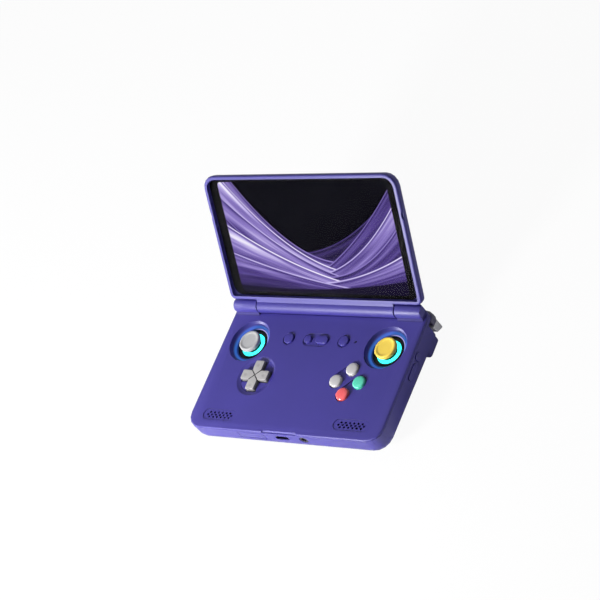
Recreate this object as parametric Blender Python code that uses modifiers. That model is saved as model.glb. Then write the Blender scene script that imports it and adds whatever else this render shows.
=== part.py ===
# Clamshell handheld game console, open for play.
# Units are metres. X runs to the player's right, Y from the front edge back to the hinge, Z up.
# Deck places are measured from the middle of the front edge, at the level of the deck's face.
# Lid places are measured from the hinge axis: along the axis, up the lid, and out of the screen.

from math import asin, atan2, cos, pi, radians, sin, sqrt

import bmesh
import bpy
from mathutils import Matrix, Vector

# Clearances and facets
gap = 0.0003
overrun = 0.0010
weld_reach = 0.00001
fine_steps = 24
round_steps = 16
small_steps = 8
hole_steps = 6
corner_steps = 4
edge_steps = 3
quarter = pi / 2

# Case
case_width = 0.1365
case_depth = 0.0846
front_corner = 0.0095
rear_corner = 0.0070
front_thickness = 0.0135
rear_thickness = 0.0154
underside_round = 0.0045
shell_wall = 0.0016
tray_depth = 0.0120
tray_corner = 0.0030
half_width = case_width / 2
thickness_rise = (rear_thickness - front_thickness) / case_depth

# Deck plate
plate_rim = 0.0010
plate_thickness = 0.0018
deck_round = 0.0008
lip_drop = 0.0008
lip_width = 0.0010
scoop_width = 0.0240
scoop_radius = 0.0024
scoop_rise = 0.0007
scoop_ahead = 0.0010
shell_top = plate_rim + gap
block_top = plate_thickness + gap
lip_bottom = plate_thickness + lip_drop

# Hinge
hinge_height = 0.0029
barrel_radius = 0.0041
hump_length = 0.01955
hump_side_step = 0.0017
hump_bevel = 0.0005
knuckle_gap = 0.0007
foot_gap = 0.0004
channel_clearance = 0.00035
hump_fillet = 0.0014
hump_round = 0.0010
hump_sink = 0.0009
plate_setback = 0.0021
shaft_radius = 0.0015
shaft_clearance = 0.0002
shaft_in_barrel = 0.0062
shaft_in_hump = 0.0102
lid_gap = 0.0005
lid_opening = radians(124.2)
hinge_y = case_depth - barrel_radius
barrel_half = half_width - hump_length
channel_radius = barrel_radius + channel_clearance
channel_half = barrel_half + knuckle_gap
hump_end = half_width - hump_side_step
plate_back = hinge_y - plate_setback
shaft_inner = barrel_half - shaft_in_barrel
shaft_outer = barrel_half + shaft_in_hump

# Lid
lid_side_step = 0.00015
lid_front_step = 0.0002
lid_thickness = 0.0067
lid_top_corner = 0.0080
lid_low_corner = 0.0035
lid_back_round = 0.0042
lid_wall = 0.0009
lid_floor = 0.0012
rim_width = 0.0021
rim_round = 0.0008
flange_thickness = 0.0009
frame_clearance = 0.0009
frame_round = 0.0024
glass_recess = 0.0019
glass_thickness = 0.0008
ledge_width = 0.0032
panel_thickness = 0.0015
panel_margin = 0.0005
web_drop = 0.0006
notch_length = 0.0060
notch_depth = 0.0009
notch_share = 0.704
least_corner = 0.0006
lid_half = half_width - lid_side_step
lid_length = hinge_y - lid_front_step
lid_foot = barrel_radius + foot_gap
notch_height = notch_share * lid_length
rim_level = hinge_height - lid_gap
glass_level = rim_level - glass_recess
back_level = rim_level - lid_thickness
flange_level = rim_level - flange_thickness
frame_floor = lid_thickness - lid_floor - rim_level - frame_clearance
web_depth = frame_floor + web_drop
pocket_half = lid_half - rim_width
pocket_low = lid_foot + rim_width
pocket_high = lid_length - rim_width
lid_lean = pi - lid_opening

# Sticks
stick_from_side = 0.01975
stick_share = 0.688
bowl_radius = 0.0132
bowl_floor_radius = 0.0100
bowl_depth = 0.0036
bowl_skin = 0.0004
bowl_wall = 0.0010
bowl_foot = 0.0016
bowl_edge = 0.0005
housing_side = 0.0170
housing_drop = 0.0012
housing_lift = 0.0012
housing_bore = 0.0070
housing_flange = 0.0104
housing_flange_thickness = 0.0003
housing_floor_thickness = 0.0005
pivot_drop = 0.0023
ring_inner = 0.0052
ring_outer = 0.0086
ring_drop = 0.00035
gimbal_clearance = 0.0014
gimbal_wall = 0.0011
gimbal_half = 0.0013
trunnion_radius = 0.0008
trunnion_clearance = 0.0002
trunnion_cover = 0.0005
hub_radius = 0.0026
stub_setback = 0.0002
stem_radius = 0.0019
stem_top = 0.0010
cap_radius = 0.00675
cap_height = 0.0007
cap_dish = 0.00045
cap_ridge = 0.0054
cap_land = 0.0006
cap_skirt = 0.0018
cap_boss = 0.0032
cap_boss_bottom = 0.0027
cap_bore_top = 0.0004
stick_x = half_width - stick_from_side
stick_y = stick_share * case_depth
bowl_bottom = bowl_depth + bowl_skin
housing_top = bowl_bottom + housing_drop
housing_bottom = tray_depth - housing_lift
housing_floor = housing_bottom - housing_floor_thickness
stick_pivot = housing_top + pivot_drop
ring_top = bowl_bottom + ring_drop
gimbal_outer = housing_bore - gimbal_clearance
gimbal_inner = gimbal_outer - gimbal_wall
trunnion_reach = housing_side / 2 - trunnion_cover
trunnion_root = gimbal_outer - gimbal_wall / 2
stub_reach = gimbal_outer - stub_setback

# D-pad
dpad_from_side = 0.0356
dpad_below_stick = 0.02285
dpad_half = 0.0095
dpad_arm = 0.0032
dpad_height = 0.0015
dpad_round = 0.0004
dpad_clearance = 0.00045
dpad_recess_radius = 0.0129
dpad_recess = 0.0008
dpad_flange_edge = 0.0009
dpad_flange_drop = 0.0011
dpad_flange_thickness = 0.0006
dpad_groove = 0.0004
dpad_groove_depth = 0.0003
dimple_radius = 0.0009
dimple_depth = 0.00015
dimple_share = 0.68
ball_radius = 0.0009
ball_drop = 0.0008
dpad_x = dpad_from_side - half_width
dpad_y = stick_y - dpad_below_stick
dpad_flange_radius = dpad_half + dpad_flange_edge
dpad_flange_top = plate_thickness + dpad_flange_drop
dpad_flange_bottom = dpad_flange_top + dpad_flange_thickness
ball_depth = dpad_flange_bottom + ball_drop

# Speakers
grille_share = 0.684
grille_y = 0.0088
grille_pitch = 0.00286
grille_row = 0.00146
grille_hole = 0.00082
grille_count = 7
grille_recess = 0.0003
grille_margin = 0.0021
speaker_half_length = 0.0095
speaker_half_width = 0.0043
speaker_drop = 0.0004
speaker_thickness = 0.0038
speaker_corner = 0.0015
cone_radius = 0.0034
cone_depth = 0.0006
grille_x = grille_share * half_width
speaker_top = plate_thickness + speaker_drop
speaker_bottom = speaker_top + speaker_thickness
speaker_back = grille_y + speaker_half_width

# Face buttons
face_from_side = 0.0356
face_pad_radius = 0.0132
face_room_share = 0.882
face_spread = 0.0080
face_radius = 0.0039
face_height = 0.0012
face_shoulder = 0.0003
dome_shares = (0, 0.4, 0.7, 1)
trough_margin = 0.00075
trough_depth = 0.0006
flange_step = 0.0007
flange_thick = 0.0008
face_x = half_width - face_from_side
face_room = stick_y - housing_side / 2 - speaker_back - 2 * face_pad_radius
face_y = speaker_back + face_pad_radius + face_room_share * face_room
trough_half = face_radius + trough_margin
flange_top = plate_thickness + gap
flange_bottom = flange_top + flange_thick

# Menu buttons and status light
menu_above_stick = 0.0028
menu_left_share = 0.4206
menu_right_share = 0.3856
menu_radius = 0.0032
menu_height = 0.0005
menu_edge = 0.0004
menu_recess = 0.0004
menu_margin = 0.0010
small_from_middle = 0.0067
small_radius = 0.0025
pill_x = 0.0034
pill_half = 0.0018
light_share = 0.5546
light_radius = 0.0006
light_foot = 0.0011
light_drop = 0.0009
menu_y = stick_y + menu_above_stick
menu_left_x = -menu_left_share * stick_x
menu_right_x = menu_right_share * stick_x
menu_recess_radius = menu_radius + menu_margin
light_x = light_share * stick_x
small_x = -small_from_middle
light_bottom = flange_top + light_drop

# Front ports
port_depth = 0.0052
usb_width = 0.00894
usb_height = 0.00326
usb_wall = 0.0003
usb_length = 0.0073
usb_setback = 0.0004
usb_tongue_width = 0.0067
usb_tongue_height = 0.0007
usb_tongue_length = 0.0050
jack_x = 0.0150
jack_ring = 0.00255
jack_bore = 0.00175
jack_setback = 0.0002
jack_collar = 0.0022
jack_body_length = 0.0108
jack_body_half = 0.0030
jack_body_rise = 0.0023
jack_bore_depth = 0.0110
card_share = 0.3194
door_half = 0.0090
door_above = 0.0029
door_below = 0.0025
door_thickness = 0.0009
reader_half = 0.0075
reader_rise = 0.0009
reader_length = 0.0105
slot_half = 0.0059
slot_rise = 0.0005
slot_length = 0.0085
slot_margin = 0.0005
slot_margin_rise = 0.0003
jack_body_front = jack_setback + jack_collar
jack_body_back = jack_body_front + jack_body_length
card_x = -card_share * half_width
door_top = port_depth - door_above
door_bottom = port_depth + door_below
reader_front = shell_wall + gap
reader_back = reader_front + reader_length

# Boards and pads
board_margin = 0.0030
board_to_jack = 0.0012
board_to_block = 0.0006
board_depth = 0.0056
board_thickness = 0.0010
board_corner = 0.0020
board_clearance = 0.0004
pad_height = 0.0008
dpad_pad_outer = 0.0100
dpad_pad_inner = 0.0030
board_half = half_width - shell_wall - board_margin
board_front = jack_body_back + board_to_jack
board_bottom = board_depth + board_thickness
pad_top = board_depth - pad_height

# Side buttons
power_below_stick = 0.0019
power_depth = 0.0050
power_radius = 0.0024
rocker_spacing = 0.0094
rocker_depth = 0.0053
rocker_half = 0.0037
rocker_radius = 0.0015
side_proud = 0.0004
side_play = 0.00045
side_stub = 0.0003
side_flange = 0.0010
side_flange_step = 0.0005
lip_clearance = 0.0037
power_y = stick_y - power_below_stick
rocker_y = power_y - rocker_spacing
side_flange_outer = half_width - shell_wall - side_play
side_flange_inner = side_flange_outer - side_flange
side_inner = side_flange_inner - side_stub
lip_back = rocker_y - rocker_half - rocker_radius - lip_clearance

# Bumpers and triggers
pocket_width = 0.02525
pocket_length = 0.0092
pocket_roof = 0.0034
block_wall = 0.0014
slot_width = 0.0048
slot_space = 0.0007
slot_height = 0.0049
bumper_wrap = 0.0060
bumper_thickness = 0.0026
bumper_play = 0.0004
bumper_proud = 0.0017
bumper_pin_setback = 0.0015
bumper_pin_inset = 0.0017
pin_radius = 0.0007
pin_clearance = 0.0002
bumper_pin_rise = 0.0010
bumper_pin_drop = 0.0012
trigger_play = 0.0004
trigger_proud = 0.0012
trigger_pull_back = 0.00025
shoulder_inset = 0.00675
pivot_ahead = 0.0032
pivot_drop_below_roof = 0.0023
trigger_boss = 0.0018
trigger_drop = 0.0109
trigger_shares = (
    (-0.217, 0.221), (-0.117, 0.673), (0.367, 0.846), (0.8, 1), (0.985, 0.965),
    (0.88, 0.8), (0.94, 0.55), (0.985, 0.26), (0.36, 0.26),
)
lug_width = 0.0016
lug_inset = 0.0031
lug_margin = 0.0009
lug_sink = 0.0010
lug_root = 0.0006
lug_slot = 0.0023
trigger_pin_radius = 0.0008
trigger_pin_inset = 0.0014
pocket_x = half_width - pocket_width
pocket_front = case_depth - pocket_length
tray_back = pocket_front - block_wall
slot_x = pocket_x - slot_width
slot_front = case_depth - bumper_thickness - slot_space
slot_floor = pocket_roof + slot_height
bumper_inner_x = slot_x + slot_space
bumper_wrap_y = case_depth - bumper_wrap
bumper_top = pocket_roof + gap
bumper_bottom = slot_floor - bumper_play
bumper_pin_x = bumper_inner_x + bumper_pin_inset
bumper_pin_y = case_depth - bumper_pin_setback
bumper_pin_top = pocket_roof - bumper_pin_rise
bumper_pin_bottom = slot_floor + bumper_pin_drop
pivot_y = pocket_front + pivot_ahead
pivot_depth = pocket_roof + pivot_drop_below_roof
trigger_reach = case_depth + trigger_proud - pivot_y
trigger_inner_x = pocket_x + trigger_play
trigger_outer_x = half_width - trigger_pull_back
trigger_shoulder_x = half_width - shoulder_inset
lug_inner_x = trigger_inner_x + lug_inset
lug_outer_x = trigger_shoulder_x - lug_width - lug_margin
trigger_pin_inner = trigger_inner_x + trigger_pin_inset
trigger_pin_outer = trigger_shoulder_x - gap

# Grip ridges, vents, feet and screws
ridge_side_step = 0.00015
ridge_width = 0.0291
ridge_length = 0.0124
ridge_depth = 0.0173
ridge_round = 0.0016
ridge_overlap = 0.0010
vent_count = 11
vent_to_slot = 0.0102
vent_width = 0.0022
vent_top = 0.0060
vent_bottom = 0.0105
intake_count = 7
intake_half = 0.0105
intake_width = 0.0015
intake_length = 0.0200
foot_half = 0.0045
foot_radius = 0.0021
foot_proud = 0.0005
foot_recess = 0.0008
front_foot_from_side = 0.02025
front_foot_y = 0.0098
screw_front_from_side = 0.00795
screw_front_y = 0.0210
screw_rear_from_side = 0.03725
screw_rear_from_block = 0.0036
boss_radius = 0.0023
boss_drop = 0.0014
screw_bore = 0.0011
screw_shank = 0.0008
screw_tip_gap = 0.0004
screw_bore_top = 0.0009
screw_head = 0.0017
screw_well = 0.0020
screw_seat_drop = 0.0003
screw_head_depth = 0.0010
screw_drive = 0.0004
ridge_outer_x = half_width - ridge_side_step
ridge_inner_x = ridge_outer_x - ridge_width
ridge_front = pocket_front - ridge_length
ridge_root = tray_depth - ridge_overlap
vent_half = slot_x - vent_to_slot
front_foot_x = half_width - front_foot_from_side
rear_foot_x = (ridge_inner_x + ridge_outer_x) / 2
rear_foot_y = (ridge_front + pocket_front) / 2
screw_front_x = half_width - screw_front_from_side
screw_rear_x = half_width - screw_rear_from_side
screw_rear_y = tray_back - screw_rear_from_block
boss_top = plate_thickness + boss_drop
cap_boss_end = boss_top - gap
screw_tip = screw_bore_top + screw_tip_gap
screw_seat = tray_depth + screw_seat_drop
board_back = tray_back - board_to_block

# Battery, fan and heat sink
battery_half = 0.0300
battery_front = 0.0150
battery_space = 0.0017
battery_play = 0.0004
battery_round = 0.0015
fan_to_stick = 0.0275
fan_below_stick = 0.0047
fan_half = 0.0138
fan_corner = 0.0040
fan_bore = 0.0122
fan_seat = 0.0040
fan_plate = 0.0005
fan_strut = 0.0016
fan_pin = 0.0009
fan_hub = 0.0052
fan_reach = 0.0114
fan_blade = 0.0006
fan_blade_inset = 0.0002
fan_blades = 9
sink_to_stick = 0.0225
sink_space = 0.0010
sink_length = 0.0090
sink_to_block = 0.0015
sink_plate = 0.0006
sink_fin = 0.0005
sink_fins = 12
fan_x = stick_x - fan_to_stick
fan_y = stick_y - fan_below_stick
fan_top = board_bottom + gap
fan_bottom = tray_depth - gap
battery_back = fan_y - fan_half - battery_space
battery_top = board_bottom + battery_play
battery_bottom = tray_depth - battery_play
sink_low_x = sink_to_stick - stick_x
sink_high_x = fan_x - fan_half - sink_space
sink_back = tray_back - sink_to_block
sink_front = sink_back - sink_length

# The datum of the whole console
deck_height = ridge_depth + foot_proud
crown_v = lid_length - lid_back_round
crown_n = back_level + lid_back_round
lid_reach = crown_v * cos(lid_lean) - crown_n * sin(lid_lean) + lid_back_round
middle_y = (hinge_y + lid_reach) / 2


def remove_everything():
    for thing in list(bpy.data.objects):
        bpy.data.objects.remove(thing, do_unlink=True)


def new_collection(name):
    collection = bpy.data.collections.new(name)
    bpy.context.scene.collection.children.link(collection)
    return collection


def plastic(name, colour, roughness, metallic=0.0):
    """A Principled material with the piece's own colour."""
    material = bpy.data.materials.new(name)
    material.use_nodes = True
    shader = material.node_tree.nodes["Principled BSDF"]
    shader.inputs["Base Color"].default_value = (*colour, 1.0)
    shader.inputs["Roughness"].default_value = roughness
    shader.inputs["Metallic"].default_value = metallic
    return material


def new_frame(name, place, turn=(0, 0, 0), parent=None):
    """An empty that carries the pieces set out from one datum."""
    frame = bpy.data.objects.new(name, None)
    frame.location = place
    frame.rotation_euler = turn
    frame.parent = parent
    parts.objects.link(frame)
    return frame


def new_piece(name, form, carrier, finish, place=(0, 0, 0)):
    """Makes a named piece of the console from a bmesh."""
    bmesh.ops.recalc_face_normals(form, faces=form.faces)
    mesh = bpy.data.meshes.new(name)
    form.to_mesh(mesh)
    form.free()
    piece = bpy.data.objects.new(name, mesh)
    piece.parent = carrier
    piece.location = place
    parts.objects.link(piece)
    mesh.materials.append(plastic(name, *finish))
    mesh.shade_smooth()
    mesh.set_sharp_from_angle(angle=crease)
    return piece


def new_tool(name, form, carrier, place=(0, 0, 0)):
    """Makes a solid that cuts or joins another piece and isn't a piece itself."""
    bmesh.ops.recalc_face_normals(form, faces=form.faces)
    mesh = bpy.data.meshes.new(name)
    form.to_mesh(mesh)
    form.free()
    tool = bpy.data.objects.new(name, mesh)
    tool.parent = carrier
    tool.location = place
    tool.hide_render = True
    tool.display_type = "WIRE"
    cutters.objects.link(tool)
    return tool


def combine(piece, tool, operation):
    step = piece.modifiers.new(tool.name, "BOOLEAN")
    step.object = tool
    step.operation = operation
    step.solver = "EXACT"


def cut(piece, tool):
    combine(piece, tool, "DIFFERENCE")


def join(piece, tool):
    combine(piece, tool, "UNION")


def trim(piece, tool):
    combine(piece, tool, "INTERSECT")


def arc(centre, radius, start, end, steps):
    """Points along an arc, both ends included."""
    turns = [start + (end - start) * i / steps for i in range(steps + 1)]
    return [(centre[0] + radius * cos(a), centre[1] + radius * sin(a)) for a in turns]


def stadium(centre, half, radius, steps=hole_steps):
    """A long round-ended outline; half is the distance from its middle to an end's centre."""
    right = arc((centre[0] + half, centre[1]), radius, -quarter, quarter, steps)
    left = arc((centre[0] - half, centre[1]), radius, quarter, 3 * quarter, steps)
    return right + left


def rounded(half, low, high, low_corner, high_corner, inset=0, steps=corner_steps):
    """A rectangle about the middle line, with its own corner radius at each end."""
    x = half - inset
    near = low + inset
    far = high - inset
    small = max(low_corner - inset, least_corner)
    large = max(high_corner - inset, least_corner)
    points = arc((-x + small, near + small), small, pi, 3 * quarter, steps)
    points += arc((x - small, near + small), small, 3 * quarter, 2 * pi, steps)
    points += arc((x - large, far - large), large, 0, quarter, steps)
    points += arc((-x + large, far - large), large, quarter, pi, steps)
    return points


def case_outline(inset=0):
    return rounded(half_width, 0, case_depth, front_corner, rear_corner, inset)


def lid_outline(inset=0):
    return rounded(lid_half, lid_foot, lid_length, lid_low_corner, lid_top_corner, inset)


def box(low, high):
    """A box between two corners."""
    form = bmesh.new()
    add_box(form, low, high)
    return form


def add_box(form, low, high):
    size = [b - a for a, b in zip(low, high)]
    middle = [(a + b) / 2 for a, b in zip(low, high)]
    place = Matrix.Translation(middle) @ Matrix.Diagonal((*size, 1.0))
    bmesh.ops.create_cube(form, size=1.0, matrix=place)


def add_drum(form, place, radius, low, high, steps, along="Z"):
    """A cylinder from low to high along an axis, added to a form."""
    turns = {"X": Matrix.Rotation(quarter, 4, "Y"), "Y": Matrix.Rotation(-quarter, 4, "X"), "Z": Matrix()}
    slide = Matrix.Translation((0, 0, (low + high) / 2))
    bmesh.ops.create_cone(
        form, cap_ends=True, segments=steps, radius1=radius, radius2=radius,
        depth=high - low, matrix=Matrix.Translation(place) @ turns[along] @ slide,
    )


def drum(place, radius, low, high, steps, along="Z"):
    form = bmesh.new()
    add_drum(form, place, radius, low, high, steps, along)
    return form


def ball(place, radius, steps):
    form = bmesh.new()
    bmesh.ops.create_uvsphere(
        form, u_segments=steps, v_segments=steps // 2, radius=radius, matrix=Matrix.Translation(place)
    )
    return form


def add_slab(form, outline, low, high, along="Z"):
    """Extrudes a flat outline along an axis; along X it lies in Y and Z, along Y in X and Z."""
    spots = {"Z": [(u, v, low) for u, v in outline], "X": [(low, u, v) for u, v in outline],
             "Y": [(u, low, v) for u, v in outline]}[along]
    way = {"Z": Vector((0, 0, 1)), "X": Vector((1, 0, 0)), "Y": Vector((0, 1, 0))}[along]
    face = form.faces.new([form.verts.new(spot) for spot in spots])
    grown = bmesh.ops.extrude_face_region(form, geom=[face], use_keep_orig=True)
    moved = [item for item in grown["geom"] if isinstance(item, bmesh.types.BMVert)]
    bmesh.ops.translate(form, verts=moved, vec=way * (high - low))


def slab(outline, low, high, along="Z"):
    form = bmesh.new()
    add_slab(form, outline, low, high, along)
    return form


def round_levels(low, high, low_round, high_round):
    """Pairs of inset and height for a block whose lower and upper edges are rounded."""
    levels = []
    for i in range(edge_steps + 1) if low_round else [edge_steps]:
        a = quarter * i / edge_steps
        levels.append((low_round * (1 - sin(a)), low + low_round * (1 - cos(a))))
    for i in range(edge_steps + 1) if high_round else [0]:
        a = quarter * i / edge_steps
        levels.append((high_round * (1 - cos(a)), high - high_round * (1 - sin(a))))
    return levels


def loft(outline, levels):
    """A closed block through the same outline at several insets and heights, lowest first."""
    form = bmesh.new()
    rings = []
    for inset, height in levels:
        rings.append([form.verts.new((x, y, height)) for x, y in outline(inset)])
    form.faces.new(list(reversed(rings[0])))
    form.faces.new(rings[-1])
    for low, high in zip(rings, rings[1:]):
        for i in range(len(low)):
            j = (i + 1) % len(low)
            form.faces.new((low[i], low[j], high[j], high[i]))
    return form


def soften(form, level, width, steps=2, axis="z"):
    """Bevels the edges that lie flat at one height, or at one place along another axis."""
    edges = [e for e in form.edges if all(abs(getattr(v.co, axis) - level) < weld_reach for v in e.verts)]
    bmesh.ops.bevel(form, geom=edges, offset=width, segments=steps, profile=0.5, affect="EDGES")


def profile(points, closed=False):
    """Half of a turned section, as radius and height, listed down its outer side."""
    form = bmesh.new()
    spots = [form.verts.new((r, 0, z)) for r, z in points]
    for pair in zip(spots, spots[1:]):
        form.edges.new(pair)
    if closed:
        form.edges.new((spots[-1], spots[0]))
    return form


def band(inner, outer, low, high):
    """The square section of a ring."""
    return profile([(inner, high), (outer, high), (outer, low), (inner, low)], True)


def turn(thing, steps):
    """Turns a profile about its own Z axis."""
    lathe = thing.modifiers.new("turn", "SCREW")
    lathe.steps = steps
    lathe.render_steps = steps
    lathe.use_merge_vertices = True
    lathe.merge_threshold = weld_reach
    return thing


def case_bottom(y):
    """Height of the flat underside at a distance from the front edge."""
    return -(front_thickness + thickness_rise * y)


# Top shell

def hump_outline():
    """Side view of a hinge hump: rear wall, barrel, then a fillet down to the deck."""
    barrel = (hinge_y, hinge_height)
    reach = barrel_radius + hump_fillet
    fillet_y = hinge_y - sqrt(reach ** 2 - (hinge_height - hump_fillet) ** 2)
    meet = atan2(hump_fillet - hinge_height, fillet_y - hinge_y) + 2 * pi
    points = [(fillet_y, -hump_sink), (case_depth, -hump_sink)]
    points += arc(barrel, barrel_radius, 0, meet, small_steps)
    points += arc((fillet_y, hump_fillet), hump_fillet, meet - pi, -quarter, edge_steps)[1:]
    return points


def make_humps(shell):
    """The two fixed hinge knuckles, rounded off where they meet the sides of the case."""
    top = hinge_height + barrel_radius
    form = bmesh.new()
    add_slab(form, hump_outline(), channel_half, hump_end, "X")
    add_slab(form, hump_outline(), -hump_end, -channel_half, "X")
    for level in (-hump_end, hump_end):
        soften(form, level, hump_bevel, axis="x")
    humps = new_tool("hump_blank", form, deck)
    levels = round_levels(-hump_sink - overrun, top + weld_reach, 0, hump_round)
    trim(humps, new_tool("hump_limit", loft(case_outline, levels), deck))
    join(shell, humps)


def make_hinge_channel(shell):
    """Clears the space in which the lid's barrel turns."""
    form = drum((0, hinge_y, hinge_height), channel_radius, -channel_half, channel_half, fine_steps, "X")
    cut(shell, new_tool("plate_channel", form, deck))
    far = (channel_half, case_depth + overrun, overrun)
    behind = box((-channel_half, plate_back, -plate_thickness - overrun), far)
    cut(shell, new_tool("plate_rear_cut", behind, deck))
    bores = bmesh.new()
    for side in (-1, 1):
        ends = sorted((side * (channel_half - overrun), side * (shaft_outer + gap)))
        add_drum(bores, (0, hinge_y, hinge_height), shaft_radius + shaft_clearance, *ends, small_steps, "X")
    cut(shell, new_tool("shaft_bores", bores, deck))


def bowl_profile():
    """Cutter for a stick bowl: a rounded edge, a dished wall and an open floor."""
    spread = bowl_radius - bowl_floor_radius
    points = [(0, overrun), (bowl_radius + bowl_edge + overrun, overrun), (bowl_radius + bowl_edge, 0)]
    for i in range(1, edge_steps + 2):
        a = quarter * i / (edge_steps + 1)
        points.append((bowl_floor_radius + spread * cos(a), -bowl_depth * sin(a)))
    points += [(bowl_floor_radius, -bowl_bottom - overrun), (0, -bowl_bottom - overrun)]
    return points


def make_bowls(shell):
    """The two dished wells that the thumb sticks stand in."""
    outer = bowl_radius + bowl_wall
    wall = [(0, -plate_thickness / 2), (outer, -plate_thickness / 2), (outer, -plate_thickness)]
    wall += [(bowl_floor_radius + bowl_foot, -bowl_bottom), (0, -bowl_bottom)]
    for side, name in ((-1, "left"), (1, "right")):
        place = (side * stick_x, stick_y, 0)
        join(shell, turn(new_tool("bowl_wall_" + name, profile(wall), deck, place), fine_steps))
        cut(shell, turn(new_tool("bowl_" + name, profile(bowl_profile()), deck, place), fine_steps))


def cross_outline(grow):
    """The d-pad's plus shape, grown all round by a clearance."""
    a = dpad_arm + grow
    b = dpad_half + grow
    right_and_up = [(b, -a), (b, a), (a, a), (a, b), (-a, b), (-a, a)]
    return right_and_up + [(-x, -y) for x, y in right_and_up]


def face_places():
    """Button name to place, round the diamond."""
    return {
        "button_up": (face_x, face_y + face_spread), "button_left": (face_x - face_spread, face_y),
        "button_right": (face_x + face_spread, face_y), "button_down": (face_x, face_y - face_spread),
    }


def make_control_openings(shell):
    """Recesses first, then the through openings of the d-pad, buttons and status light."""
    through = -plate_thickness - overrun
    dish = drum((dpad_x, dpad_y, 0), dpad_recess_radius, -dpad_recess, overrun, fine_steps)
    cut(shell, new_tool("dpad_recess", dish, deck))
    half = face_spread / sqrt(2)
    for name, shift in (("upper", -1), ("lower", 1)):
        trough = slab(stadium((0, 0), half, trough_half), -trough_depth, overrun)
        aside = shift * face_spread / 2
        tool = new_tool("trough_" + name, trough, deck, (face_x + aside, face_y - aside, 0))
        tool.rotation_euler.z = pi / 4
        cut(shell, tool)
    recess = bmesh.new()
    for x in (menu_left_x, menu_right_x):
        add_drum(recess, (x, menu_y, 0), menu_recess_radius, -menu_recess, overrun, round_steps)
    middle = (small_x - small_radius + pill_x + pill_half + small_radius) / 2
    reach = (pill_x + pill_half - small_x) / 2 + small_radius + menu_recess_radius - menu_radius
    outline = stadium((middle, menu_y), reach - menu_recess_radius, menu_recess_radius)
    add_slab(recess, outline, -menu_recess, overrun)
    cut(shell, new_tool("menu_recesses", recess, deck))
    holes = bmesh.new()
    add_slab(holes, [(dpad_x + x, dpad_y + y) for x, y in cross_outline(dpad_clearance)], through, overrun)
    for x, y in face_places().values():
        add_drum(holes, (x, y, 0), face_radius + gap, through, overrun, round_steps)
    for x in (menu_left_x, menu_right_x):
        add_drum(holes, (x, menu_y, 0), menu_radius + gap, through, overrun, round_steps)
    add_drum(holes, (small_x, menu_y, 0), small_radius + gap, through, overrun, round_steps)
    add_slab(holes, stadium((pill_x, menu_y), pill_half, small_radius + gap), through, overrun)
    add_drum(holes, (light_x, menu_y, 0), light_radius + gap, through, overrun, small_steps)
    cut(shell, new_tool("control_holes", holes, deck))


def grille_places():
    """Hole centres of one grille: a full row between two rows set half a pitch in."""
    places = []
    for row in (-1, 0, 1):
        count = grille_count - abs(row)
        for i in range(count):
            places.append(((i - (count - 1) / 2) * grille_pitch, row * grille_row))
    return places


def make_grilles(shell):
    """A shallow round-ended recess with staggered sound holes over each speaker."""
    form = bmesh.new()
    recess = bmesh.new()
    for side in (-1, 1):
        half = grille_pitch * (grille_count - 1) / 2
        outline = stadium((side * grille_x, grille_y), half, grille_row + grille_margin)
        add_slab(recess, outline, -grille_recess, overrun)
        for x, y in grille_places():
            spot = (side * grille_x + x, grille_y + y, 0)
            add_drum(form, spot, grille_hole, -plate_thickness - overrun, overrun, hole_steps)
    cut(shell, new_tool("grille_recess", recess, deck))
    cut(shell, new_tool("grille_holes", form, deck))


def screw_places():
    """Screw name to place."""
    places = {}
    for side, name in ((-1, "left"), (1, "right")):
        places["screw_front_" + name] = (side * screw_front_x, screw_front_y)
        places["screw_rear_" + name] = (side * screw_rear_x, screw_rear_y)
    return places


def make_scoop(shell, name):
    """The thumb notch in the front edge, by which the lid is opened."""
    spot = (0, -scoop_ahead, scoop_rise)
    form = drum(spot, scoop_radius, -scoop_width / 2, scoop_width / 2, round_steps, "X")
    cut(shell, new_tool(name, form, deck))


def make_top_shell():
    """Deck plate with its locating lip, stick bowls, control openings, grilles and hinge humps."""
    rim = loft(case_outline, round_levels(-plate_rim, 0, 0, deck_round))
    shell = new_piece("top_shell", rim, deck, (indigo, shell_roughness))
    inset = shell_wall + gap
    plate = slab(case_outline(inset), -plate_thickness, -plate_rim / 2)
    join(shell, new_tool("plate", plate, deck))
    outer = rounded(half_width, 0, lip_back, front_corner, least_corner, inset)
    inner = rounded(half_width, 0, lip_back + overrun, front_corner, least_corner, inset + lip_width)
    lip = new_tool("lip", slab(outer, -lip_bottom, -plate_rim), deck)
    cut(lip, new_tool("lip_inside", slab(inner, -lip_bottom - overrun, -plate_thickness + weld_reach), deck))
    join(shell, lip)
    bosses = bmesh.new()
    pilots = bmesh.new()
    for x, y in screw_places().values():
        add_drum(bosses, (x, y, 0), boss_radius, -cap_boss_end, -plate_rim, small_steps)
        add_drum(pilots, (x, y, 0), screw_bore, -cap_boss_end - overrun, -screw_bore_top, small_steps)
    join(shell, new_tool("plate_bosses", bosses, deck))
    make_humps(shell)
    make_bowls(shell)
    make_hinge_channel(shell)
    make_control_openings(shell)
    make_grilles(shell)
    cut(shell, new_tool("pilots", pilots, deck))
    make_scoop(shell, "plate_scoop")


# Bottom shell

def underside(form):
    """Slopes the flat underside so that the case is thicker at the hinge."""
    for vert in form.verts:
        if vert.co.z < -shell_top - weld_reach:
            vert.co.z -= thickness_rise * vert.co.y


def ridge_outline(inset=0):
    half = (ridge_outer_x - ridge_inner_x) / 2
    return rounded(half, ridge_front, pocket_front, ridge_round, ridge_round, inset, edge_steps)


def make_ridges(shell):
    """Finger ridges under the back corners, ahead of the triggers."""
    middle = (ridge_outer_x + ridge_inner_x) / 2
    levels = round_levels(-ridge_depth, -ridge_root, ridge_round, 0)
    for side, name in ((-1, "left"), (1, "right")):
        join(shell, new_tool("ridge_" + name, loft(ridge_outline, levels), deck, (side * middle, 0, 0)))


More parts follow.
